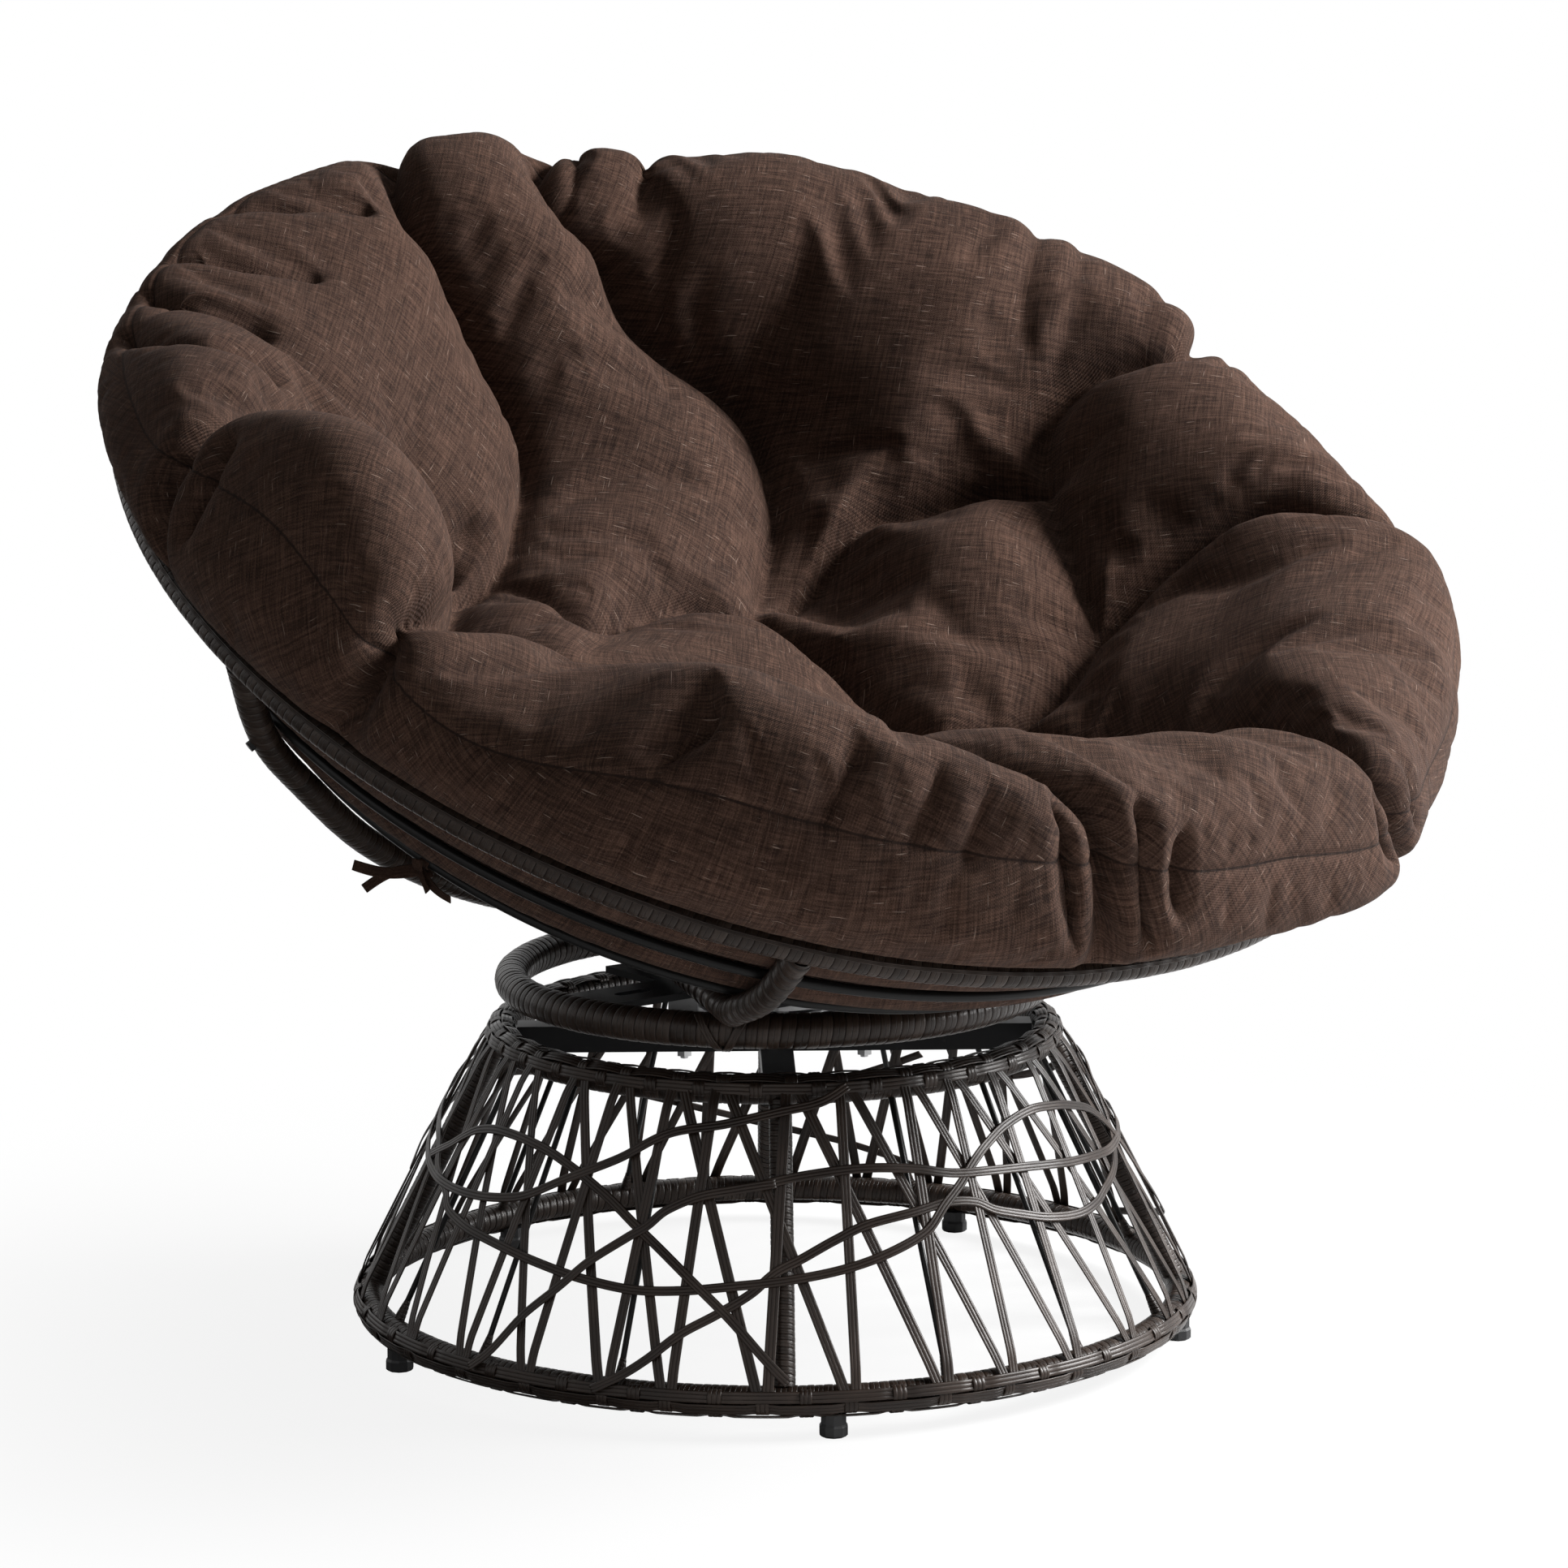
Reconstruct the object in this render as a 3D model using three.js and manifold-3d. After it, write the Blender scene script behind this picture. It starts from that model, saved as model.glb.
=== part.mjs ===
// Swivel papasan chair: a tilted bowl seat with a tufted round cushion, turning on a laced wicker stand.
// Millimetres, +Z up. The seat's front looks along -Y. The origin is on the floor under the middle
// of the whole chair, a little in front of the swivel axis.

import * as THREE from "three";
import { mergeVertices } from "three/addons/utils/BufferGeometryUtils.js";
import Module from "manifold-3d";

const wasm = await Module();
wasm.setup();
const { Manifold, Mesh: SolidMesh } = wasm;

// Place of the swivel axis behind the origin
const axisSetBack = 24;

// Clearances
const seatGap = 0.3;
const holeClearance = 0.5;

// Stand: two wrapped rings, four leaning posts and the glides
const baseRingRadius = 307;
const baseRingTube = 10;
const topRingRadius = 205;
const topRingTube = 10;
const topRingHeight = 226;
const postTube = 8.5;
const postCount = 4;
const firstPostAngle = -36;
const glideCount = 5;
const firstGlideAngle = -47.5;
const glideRadius = 10.5;
const glideHeight = 16.7;
const baseRingHeight = glideHeight + seatGap + baseRingTube;
const rodRadius = 2.2;
const rodsBetweenPosts = 3;

// Lacing of the stand: pairs of flat strands between two woven bands. Each pair stands on one foot;
// one strand goes up nearly straight, the other leans back to the top of an earlier pair.
const strandWidth = 7;
const strandThickness = 1.4;
const bandCover = 0.7;
const bandGap = 0.5;
const weaverGap = 0.9;
const strandOverrun = 5;
const strandSpacing = 7.4;
const strandFeet = [
  -206.5, -195, -184.3, -172.6, -161.4, -149.7, -141.2, -128.8, -117.5, -105, -95.4, -84.3, -72.1, -59.6, -50.6,
  -39.6, -28.2, -16.4, -5.6, 6.2, 17.1, 28.8, 39.9, 51.2, 62.7, 73.6, 85.4, 96.2, 107.9, 118.6, 130.4, 141.6,
];
const uprightLean = 4.2;
const uprightLeanSpread = 1.1;
const leaningSkip = 2;
const leaningSteps = 2;
const lowerBandDepth = 28;
const upperBandDepth = 20;

// Long strands that wander round the stand outside the lacing: [angle, height] of the places they pass
const weaverPaths = [
  [[-147, 36], [-130, 92], [-105, 139], [-90, 133], [-72, 117], [-55, 138], [-38, 192], [-8, 160], [24, 128]],
  [[-225, 180], [-201, 147], [-181, 109], [-147, 90], [-118, 105], [-100, 141], [-75, 190], [-52, 168], [-36, 84], [-12, 50]],
  [[-204, 138], [-182, 175], [-162, 163], [-144, 117], [-128, 49]],
  [[-113, 222], [-136, 200], [-163, 155], [-190, 129], [-212, 148], [-240, 180], [-278, 130], [-306, 108], [-334, 148]],
];
const weaverStepAngle = 9;

// Lower cross of square tube inside the top ring
const barWidth = 24;
const barHeight = 20;
const barWall = 1.5;
const barCentreHeight = 222.3;

// Swivel unit
const plateSide = 160;
const plateCorner = 14;
const plateThickness = 3;
const raceInner = 42;
const raceOuter = 58;
const raceHeight = 10.9;
const ballRadius = 5;
const grooveClearance = 0.6;
const ballCount = 12;
const cageThickness = 1.2;
const pinRadius = 7;
const pinLowerHead = 9.2;
const pinUpperHead = 15;
const pinHeadHeight = 3;
const boltRadius = 3;
const boltHeadRadius = 6;
const boltHeadHeight = 4.5;
const nutHeight = 5;
const boltTip = 2;
const boltCircle = 68;
const slotLength = 26;

// Seat: swivel ring with its stamped spider plate
const swivelRingRadius = 197.5;
const swivelRingTube = 13;
const swivelRingHeight = 268;
const spiderThickness = 5;
const spiderHub = 182;
const spiderArm = 50;
const spiderBore = 20;
const armSlotPlace = 131;
const armSlotLength = 32;
const armSlotWidth = 10;

// Bowl: tilted rim and two bare rod hoops below it
const rimRadius = 486;
const rimTube = 9.5;
const rimCentreHeight = 580.5;
const rimCentreBack = 12;
const rimTilt = 29.43;
const hoopRod = 4;
const upperHoop = { radius: 430.5, drop: 65 };
const lowerHoop = { radius: 371, drop: 125 };

// Tubes that carry the bowl on the swivel ring
const railTube = 9;
const railRimAngle = 240;
const railRingAngle = 221;
const railEndSide = 12.3;
const cradleTube = 10.5;
const cradleSteps = 34;
const cradleRimAngle = 186;
const spineTube = 9;
const spineFootRise = 30;
const screwHead = 4;
const screwHeadHeight = 3;

// Cushion: lobes between pinched seams, angles counter-clockwise from the seat's left-to-right axis
const cushionLobes = [
  { start: -158, end: -102, top: 172, overhang: 34 },
  { start: -102, end: -64, top: 166, overhang: 34 },
  { start: -64, end: -12, top: 150, overhang: 42 },
  { start: -12, end: 16, top: 138, overhang: 38 },
  { start: 16, end: 76, top: 120, overhang: 35 },
  { start: 76, end: 96, top: 88, overhang: 28 },
  { start: 96, end: 180, top: 64, overhang: 27 },
  { start: 180, end: 202, top: 108, overhang: 30 },
];
const cushionBottomGap = 1;
const hoopClearance = 1.2;
const cushionClearance = 0.4;
const cushionSeatDrop = 104;
const tuftDepth = 30;
const pinchDepth = 26;
const panelRadius = 215;

// Tie ribbons of the cushion, knotted round the lower hoop
const tieWidth = 13;
const tieThickness = 1.5;
const tieLength = 62;
const tieAngles = [202.5, 22.5];

const strandSurface = { color: 0x3b332f, roughness: 0.42, metalness: 0 };
const blackSteel = { color: 0x17181a, roughness: 0.45, metalness: 0.6 };
const zincSteel = { color: 0xb8babc, roughness: 0.35, metalness: 0.9 };
const brownCloth = { color: 0x4a3830, roughness: 0.95, metalness: 0 };
const blackPlastic = { color: 0x101010, roughness: 0.5, metalness: 0 };

// Facets round the rings and round their tubes
const ringSegments = 40;
const rimSegments = 48;
const tubeSides = 8;

const radians = THREE.MathUtils.degToRad;

// Solid of a closed geometry, with its shared corners merged
function solidOf(geometry) {
  const bare = geometry.clone();
  bare.deleteAttribute("normal");
  bare.deleteAttribute("uv");
  const merged = mergeVertices(bare, 1e-4);
  const vertProperties = new Float32Array(merged.attributes.position.array);
  const triVerts = new Uint32Array(merged.index.array);
  return new Manifold(new SolidMesh({ numProp: 3, vertProperties, triVerts }));
}

// Geometry of a solid, with flat facets
function geometryOf(solid) {
  const mesh = solid.getMesh();
  const geometry = new THREE.BufferGeometry();
  geometry.setAttribute("position", new THREE.BufferAttribute(new Float32Array(mesh.vertProperties), 3));
  geometry.setIndex(new THREE.BufferAttribute(new Uint32Array(mesh.triVerts), 1));
  return geometry;
}

function cut(geometry, ...tools) {
  let solid = solidOf(geometry);
  for (const tool of tools) {
    solid = solid.subtract(solidOf(tool));
  }
  return geometryOf(solid);
}

function join(...geometries) {
  let solid = solidOf(geometries[0]);
  for (const other of geometries.slice(1)) {
    solid = solid.add(solidOf(other));
  }
  return geometryOf(solid);
}

function part(name, geometry, surface) {
  const shown = geometry.index ? geometry.toNonIndexed() : geometry;
  shown.deleteAttribute("normal");
  shown.computeVertexNormals();
  const mesh = new THREE.Mesh(shown, new THREE.MeshStandardMaterial(surface));
  mesh.name = name;
  return mesh;
}

// Revolved solid about Z from a closed profile of [radius, height] points, listed anticlockwise
function revolve(profile, segments) {
  const points = profile.map(([radius, height]) => new THREE.Vector2(radius, height));
  return new THREE.LatheGeometry(points, segments).rotateX(Math.PI / 2);
}

// Round tube bent into a level ring
function ringTube(radius, tube, height, segments, sides) {
  const profile = [];
  for (let i = 0; i <= sides; i += 1) {
    const turn = (2 * Math.PI * (i % sides)) / sides;
    profile.push([radius + tube * Math.cos(turn), height + tube * Math.sin(turn)]);
  }
  return revolve(profile, segments);
}

// Round tube along a curve
function bentTube(curve, tube, steps, sides) {
  const section = [];
  for (let i = 0; i < sides; i += 1) {
    const turn = (2 * Math.PI * i) / sides;
    section.push(new THREE.Vector2(tube * Math.cos(turn), tube * Math.sin(turn)));
  }
  return new THREE.ExtrudeGeometry(new THREE.Shape(section), {
    steps,
    extrudePath: curve,
    bevelEnabled: false,
  });
}

function cylinder(radius, height, sides) {
  return new THREE.CylinderGeometry(radius, radius, height, sides).rotateX(Math.PI / 2);
}

function onCircle(radius, degrees, height) {
  const turn = radians(degrees);
  return new THREE.Vector3(radius * Math.cos(turn), radius * Math.sin(turn), height);
}

// The bowl's own frame: centre of the rim, Z along the bowl's axis, Y up the slope to the back
const bowlFrame = new THREE.Matrix4()
  .makeTranslation(0, rimCentreBack, rimCentreHeight)
  .multiply(new THREE.Matrix4().makeRotationX(radians(rimTilt)));

function inBowl(degrees, radius, drop) {
  return onCircle(radius, degrees, -drop).applyMatrix4(bowlFrame);
}

// Point beside a hoop, outside the bowl by the given distance
function outsideHoop(hoop, degrees, distance) {
  const slope = Math.SQRT1_2;
  return inBowl(degrees, hoop.radius + slope * distance, hoop.drop + slope * distance);
}

// Ring that cuts a tube's end to a saddle which clears the ring itself
function ringCutter(radius, tube, height, segments) {
  return ringTube(radius, tube + seatGap, height, segments, tubeSides);
}

function rimCutter() {
  return ringCutter(rimRadius, rimTube, 0, rimSegments).applyMatrix4(bowlFrame);
}

function swivelRingCutter() {
  return ringCutter(swivelRingRadius, swivelRingTube, swivelRingHeight, ringSegments);
}

// Place where a tube comes up under the rim, short of the rim's centre by a distance
function underRim(degrees, short) {
  const centre = inBowl(degrees, rimRadius, 0);
  const below = outsideHoop(upperHoop, degrees, hoopRod);
  return centre.addScaledVector(below.sub(centre).normalize(), short);
}

// Stand

function standRings(group) {
  const base = ringTube(baseRingRadius, baseRingTube, baseRingHeight, ringSegments, tubeSides);
  const top = ringTube(topRingRadius, topRingTube, topRingHeight, ringSegments, tubeSides);
  group.add(part("base_ring", join(base, ...rods()), strandSurface));
  group.add(part("top_ring", top, strandSurface));
}

// Thin bare rods between the posts, welded to the base ring and stopping under the top ring
function rods() {
  const places = postCount * (rodsBetweenPosts + 1);
  const made = [];
  for (let i = 0; i < places; i += 1) {
    if (i % (rodsBetweenPosts + 1) === 0) {
      continue;
    }
    const angle = firstPostAngle + (360 / places) * i;
    const foot = onCircle(baseRingRadius, angle, baseRingHeight);
    const head = onCircle(topRingRadius, angle, topRingHeight);
    const shortBy = (topRingTube + seatGap) / foot.distanceTo(head);
    head.lerp(foot, shortBy);
    made.push(bentTube(new THREE.LineCurve3(foot, head), rodRadius, 1, 6));
  }
  return made;
}

function posts(group) {
  const baseTool = ringCutter(baseRingRadius, baseRingTube, baseRingHeight, ringSegments);
  const topTool = ringCutter(topRingRadius, topRingTube, topRingHeight, ringSegments);
  for (let i = 0; i < postCount; i += 1) {
    const angle = firstPostAngle + (360 / postCount) * i;
    const foot = onCircle(baseRingRadius, angle, baseRingHeight);
    const head = onCircle(topRingRadius, angle, topRingHeight);
    const tube = bentTube(new THREE.LineCurve3(foot, head), postTube, 1, 10);
    group.add(part(`post_${i + 1}`, cut(tube, baseTool, topTool), strandSurface));
  }
}

function glides(group) {
  for (let i = 0; i < glideCount; i += 1) {
    const angle = firstGlideAngle + (360 / glideCount) * i;
    const profile = [
      [0, 0],
      [glideRadius - 1.5, 0],
      [glideRadius, 1.5],
      [glideRadius, glideHeight * 0.45],
      [glideRadius - 1.2, glideHeight * 0.55],
      [glideRadius - 1.2, glideHeight],
      [0, glideHeight],
    ];
    const mesh = part(`glide_${i + 1}`, revolve(profile, 10), blackPlastic);
    mesh.position.copy(onCircle(baseRingRadius, angle, 0));
    group.add(mesh);
  }
}

// Point at some offset from the line of ring centres, and the unit normal of the stand's cone there
function coneFrame(degrees, height, offset) {
  const run = baseRingRadius - topRingRadius;
  const rise = topRingHeight - baseRingHeight;
  const slant = Math.hypot(run, rise);
  const normal = onCircle(rise / slant, degrees, run / slant);
  const share = (height - baseRingHeight) / rise;
  const point = onCircle(baseRingRadius - run * share, degrees, height);
  return { point: point.addScaledVector(normal, offset), normal };
}

// One nearly upright strand of the lacing, straight from the lower woven band to the upper one
function uprightStrand(lowAngle, highAngle, offset) {
  const low = coneFrame(lowAngle, baseRingHeight, offset);
  const high = coneFrame(highAngle, topRingHeight, offset);
  const along = high.point.clone().sub(low.point);
  const length = along.length() + 2 * strandOverrun;
  along.normalize();
  const facing = low.normal.clone().add(high.normal).normalize();
  const across = along.clone().cross(facing).normalize();
  facing.copy(across).cross(along).normalize();
  const centre = low.point.clone().add(high.point).multiplyScalar(0.5);
  const place = new THREE.Matrix4().makeBasis(across, along, facing).setPosition(centre);
  return new THREE.BoxGeometry(strandWidth, length, strandThickness).applyMatrix4(place);
}

// One leaning strand, bent in a few places so that it keeps its offset round the cone
function leaningStrand(lowAngle, highAngle, offset) {
  const low = coneFrame(lowAngle, baseRingHeight, offset).point;
  const high = coneFrame(highAngle, topRingHeight, offset).point;
  const overrun = strandOverrun / low.distanceTo(high);
  const frames = [];
  for (let i = 0; i <= leaningSteps; i += 1) {
    const share = THREE.MathUtils.lerp(-overrun, 1 + overrun, i / leaningSteps);
    const place = low.clone().lerp(high, share);
    const angle = THREE.MathUtils.radToDeg(Math.atan2(place.y, place.x));
    const height = THREE.MathUtils.lerp(baseRingHeight, topRingHeight, share);
    frames.push(coneFrame(angle, height, offset));
  }
  return ribbon(frames);
}

// Offset from the ring centres at which a layer of the lacing starts, counted from inside
function layerOffset(layer) {
  const bandThickness = strandThickness + 2 * bandCover;
  return Math.max(baseRingTube, topRingTube) + seatGap + layer * (bandThickness + bandGap);
}

// Woven band that lies round the outside of a ring, along the slope of the stand
function wovenBand(ringHeight, depth, layer) {
  const inner = layerOffset(layer);
  const outer = inner + strandThickness + 2 * bandCover;
  const corners = [[inner, -1], [outer, -1], [outer, 1], [inner, 1], [inner, -1]];
  const profile = corners.map(([offset, end]) => {
    const { point } = coneFrame(0, ringHeight + (end * depth) / 2, offset);
    return [point.x, point.z];
  });
  return revolve(profile, 72);
}

// Angle at which the upright strand of a pair ends; it wanders from pair to pair, as hand lacing does
function topOf(index) {
  return strandFeet[index] + uprightLean + uprightLeanSpread * Math.sin(2.4 * index);
}

// Leaning strands hang from the band of the top ring. The upright ones lie over them and stand up
// from the band of the base ring.
function lacing(group) {
  const offsets = [0, 1].map((layer) => layerOffset(layer) + bandCover + strandThickness / 2);
  const lowStep = THREE.MathUtils.radToDeg(strandSpacing / 2 / baseRingRadius);
  const highStep = THREE.MathUtils.radToDeg(strandSpacing / 2 / topRingRadius);
  const under = [wovenBand(topRingHeight, upperBandDepth, 0)];
  const over = [wovenBand(baseRingHeight, lowerBandDepth, 1)];
  strandFeet.forEach((foot, i) => {
    const back = (i - leaningSkip + strandFeet.length) % strandFeet.length;
    under.push(leaningStrand(foot - lowStep, topOf(back) + highStep, offsets[0]));
    over.push(uprightStrand(foot + lowStep, topOf(i) - highStep, offsets[1]));
  });
  group.add(part("lacing_under", join(...under), strandSurface));
  group.add(part("lacing_over", join(...over), strandSurface));
}

// Flat strand along a row of cone frames, closed at both ends
function ribbon(frames) {
  const positions = [];
  const index = [];
  frames.forEach((frame, i) => {
    const before = frames[Math.max(i - 1, 0)].point;
    const after = frames[Math.min(i + 1, frames.length - 1)].point;
    const along = after.clone().sub(before).normalize();
    const across = frame.normal.clone().cross(along).normalize();
    const facing = along.clone().cross(across).normalize();
    for (const [side, face] of [[-1, -1], [1, -1], [1, 1], [-1, 1]]) {
      const corner = frame.point.clone();
      corner.addScaledVector(across, (side * strandWidth) / 2);
      corner.addScaledVector(facing, (face * strandThickness) / 2);
      positions.push(corner.x, corner.y, corner.z);
    }
  });
  for (let i = 0; i < frames.length - 1; i += 1) {
    for (let k = 0; k < 4; k += 1) {
      const a = 4 * i + k;
      const b = 4 * i + ((k + 1) % 4);
      index.push(a, b, b + 4, a, b + 4, a + 4);
    }
  }
  const last = 4 * (frames.length - 1);
  index.push(0, 2, 1, 0, 3, 2);
  index.push(last, last + 1, last + 2, last, last + 2, last + 3);
  const geometry = new THREE.BufferGeometry();
  geometry.setAttribute("position", new THREE.Float32BufferAttribute(positions, 3));
  geometry.setIndex(index);
  return geometry;
}

// Curved strands that wander round the stand, each in a layer of its own outside the lacing
function weavers(group) {
  const lacingFace = layerOffset(1) + bandCover + strandThickness + weaverGap;
  weaverPaths.forEach((places, k) => {
    const offset = lacingFace + strandThickness / 2 + k * (strandThickness + weaverGap);
    const curve = new THREE.CatmullRomCurve3(places.map(([angle, height]) => new THREE.Vector3(angle, height, 0)));
    const frames = curve
      .getSpacedPoints(Math.round(curve.getLength() / weaverStepAngle))
      .map((place) => coneFrame(place.x, place.y, offset));
    const turned = places[0][0] > places[places.length - 1][0] ? frames.reverse() : frames;
    group.add(part(`weaver_${k + 1}`, ribbon(turned), strandSurface));
  });
}

// Square tube with open ends, along X
function squareTube(length) {
  const outer = new THREE.BoxGeometry(length, barWidth, barHeight);
  const inner = new THREE.BoxGeometry(length + 2, barWidth - 2 * barWall, barHeight - 2 * barWall);
  return cut(outer, inner);
}

// The bars end square against the inside of the top ring
function lowerCross(group) {
  const inside = (topRingRadius - topRingTube) * Math.cos(Math.PI / ringSegments) - seatGap;
  const reach = Math.sqrt(inside ** 2 - (barWidth / 2) ** 2);
  const boltHole = cylinder(boltRadius + holeClearance, barHeight + 4, 10);
  const pinHole = cylinder(pinLowerHead + holeClearance, barWall * 4, 16).translate(0, 0, barHeight / 2);
  const cross = new THREE.Group();
  cross.position.z = barCentreHeight;
  cross.rotation.z = radians(firstPostAngle);
  const long = cut(
    squareTube(2 * reach),
    boltHole.clone().translate(boltCircle, 0, 0),
    boltHole.clone().translate(-boltCircle, 0, 0),
    pinHole,
  );
  cross.add(part("lower_bar_long", long, blackSteel));
  const shortLength = reach - barWidth / 2 - seatGap;
  for (const side of [1, -1]) {
    const bar = squareTube(shortLength).translate(reach - shortLength / 2, 0, 0);
    const short = cut(bar, boltHole.clone().translate(boltCircle, 0, 0));
    const mesh = part(side > 0 ? "lower_bar_left" : "lower_bar_right", short, blackSteel);
    mesh.rotation.z = (side * Math.PI) / 2;
    cross.add(mesh);
  }
  group.add(cross);
}

// Swivel unit

// Rounded slot along X in an extruded plate
function slotPath(x, y, length, width) {
  const path = new THREE.Path();
  const half = (length - width) / 2;
  path.absarc(x + half, y, width / 2, -Math.PI / 2, Math.PI / 2, false);
  path.absarc(x - half, y, width / 2, Math.PI / 2, (3 * Math.PI) / 2, false);
  path.closePath();
  return path;
}

// Corners of a circle in the plate's plane
function circle(radius, count, x = 0, y = 0) {
  return Array.from({ length: count }, (_, i) => {
    const turn = (2 * Math.PI * i) / count;
    return new THREE.Vector2(x + radius * Math.cos(turn), y + radius * Math.sin(turn));
  });
}

function roundHole(radius, count, x = 0, y = 0) {
  return new THREE.Path(circle(radius, count, x, y));
}

function turnedSlot(degrees, place, length, width) {
  const slot = slotPath(place, 0, length, width);
  const turn = radians(degrees);
  const origin = new THREE.Vector2(0, 0);
  return new THREE.Path(slot.getPoints(2).map((point) => point.rotateAround(origin, turn)));
}

function swivelPlate(bore) {
  const half = plateSide / 2;
  const straight = half - plateCorner;
  const outline = new THREE.Shape();
  outline.absarc(straight, straight, plateCorner, 0, Math.PI / 2, false);
  outline.absarc(-straight, straight, plateCorner, Math.PI / 2, Math.PI, false);
  outline.absarc(-straight, -straight, plateCorner, Math.PI, (3 * Math.PI) / 2, false);
  outline.absarc(straight, -straight, plateCorner, (3 * Math.PI) / 2, 2 * Math.PI, false);
  outline.holes.push(roundHole(bore, 20));
  for (let i = 0; i < 4; i += 1) {
    outline.holes.push(turnedSlot(90 * i, boltCircle, 2 * boltRadius + 4, 2 * (boltRadius + holeClearance)));
  }
  return new THREE.ExtrudeGeometry(outline, {
    depth: plateThickness,
    bevelEnabled: false,
    curveSegments: 3,
  });
}

// Hardened ring with a ball groove in its top face
function race() {
  const middle = (raceInner + raceOuter) / 2;
  const centre = raceHeight + ballLift;
  const groove = [];
  const reach = ballRadius + grooveClearance;
  const half = Math.acos(ballLift / reach);
  for (let i = 0; i <= 4; i += 1) {
    const turn = -Math.PI / 2 + half - (half * i) / 2;
    groove.push([middle + reach * Math.cos(turn), centre + reach * Math.sin(turn)]);
  }
  const profile = [
    [raceInner, 0],
    [raceOuter, 0],
    [raceOuter, raceHeight],
    ...groove,
    [raceInner, raceHeight],
    [raceInner, 0],
  ];
  return revolve(profile, 32);
}

const lowerPlateFloor = barCentreHeight + barHeight / 2 + seatGap;
const spiderTop = swivelRingHeight + 4;
const upperPlateTop = spiderTop - spiderThickness - seatGap;
const lowerRaceFloor = lowerPlateFloor + plateThickness + seatGap;
const upperRaceTop = upperPlateTop - plateThickness - seatGap;
const ballHeight = (lowerRaceFloor + upperRaceTop) / 2;
const ballLift = ballHeight - lowerRaceFloor - raceHeight;

// Hexagon bolt down through the stack with its nut tightened on below, on the bolt circle
function boltWithNut(headFloor, nutTop) {
  const tip = nutTop - nutHeight - boltTip;
  const top = headFloor + boltHeadHeight;
  const head = cylinder(boltHeadRadius, boltHeadHeight, 6).translate(0, 0, top - boltHeadHeight / 2);
  const shank = cylinder(boltRadius, top - tip - 1, 8).translate(0, 0, (top + tip - 1) / 2);
  const nut = cylinder(boltHeadRadius, nutHeight, 6).translate(0, 0, nutTop - nutHeight / 2);
  return join(head, shank, nut);
}

function bolts(group, label, headFloor, nutTop) {
  for (let i = 0; i < 4; i += 1) {
    const mesh = part(`${label}_bolt_${i + 1}`, boltWithNut(headFloor, nutTop), zincSteel);
    mesh.position.copy(onCircle(boltCircle, 90 * i, 0));
    group.add(mesh);
  }
}

function lowerSwivel(group) {
  const unit = new THREE.Group();
  unit.rotation.z = radians(firstPostAngle);
  const plate = part("lower_swivel_plate", swivelPlate(pinRadius + holeClearance), blackSteel);
  plate.position.z = lowerPlateFloor;
  const lowerRace = part("lower_race", race(), zincSteel);
  lowerRace.position.z = lowerRaceFloor;
  unit.add(plate, lowerRace);
  const headFloor = lowerPlateFloor + plateThickness + seatGap;
  const nutTop = barCentreHeight - barHeight / 2 - seatGap;
  bolts(unit, "lower", headFloor, nutTop);
  group.add(unit);
  const pinFloor = lowerPlateFloor - seatGap - pinHeadHeight;
  const lowHead = lowerPlateFloor - seatGap;
  const highHead = upperPlateTop + seatGap;
  const pin = revolve(
    [
      [0, pinFloor],
      [pinLowerHead, pinFloor],
      [pinLowerHead, lowHead],
      [pinRadius, lowHead],
      [pinRadius, highHead],
      [pinUpperHead, highHead],
      [pinUpperHead - 1, highHead + pinHeadHeight],
      [0, highHead + pinHeadHeight],
    ],
    20,
  );
  group.add(part("king_pin", pin, zincSteel));
}

function ballCage(group) {
  const middle = (raceInner + raceOuter) / 2;
  const band = new THREE.Shape(circle(raceOuter - 1, 24));
  band.holes.push(roundHole(raceInner + 1, 24));
  for (let i = 0; i < ballCount; i += 1) {
    const at = onCircle(middle, (360 / ballCount) * i, ballHeight);
    band.holes.push(roundHole(ballRadius + seatGap, 8, at.x, at.y));
    const ball = part(`ball_${i + 1}`, new THREE.IcosahedronGeometry(ballRadius, 1), zincSteel);
    ball.position.copy(at);
    group.add(ball);
  }
  const cage = new THREE.ExtrudeGeometry(band, {
    depth: cageThickness,
    bevelEnabled: false,
  }).translate(0, 0, ballHeight - cageThickness / 2);
  group.add(part("ball_cage", cage, zincSteel));
}

function upperSwivel(group) {
  const plate = part("upper_swivel_plate", swivelPlate(pinRadius + holeClearance), blackSteel);
  plate.position.z = upperPlateTop - plateThickness;
  const upperRace = part("upper_race", race(), zincSteel);
  upperRace.rotation.x = Math.PI;
  upperRace.position.z = upperRaceTop;
  group.add(plate, upperRace);
  const nutTop = upperPlateTop - plateThickness - seatGap;
  bolts(group, "upper", spiderTop + seatGap, nutTop);
}

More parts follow.
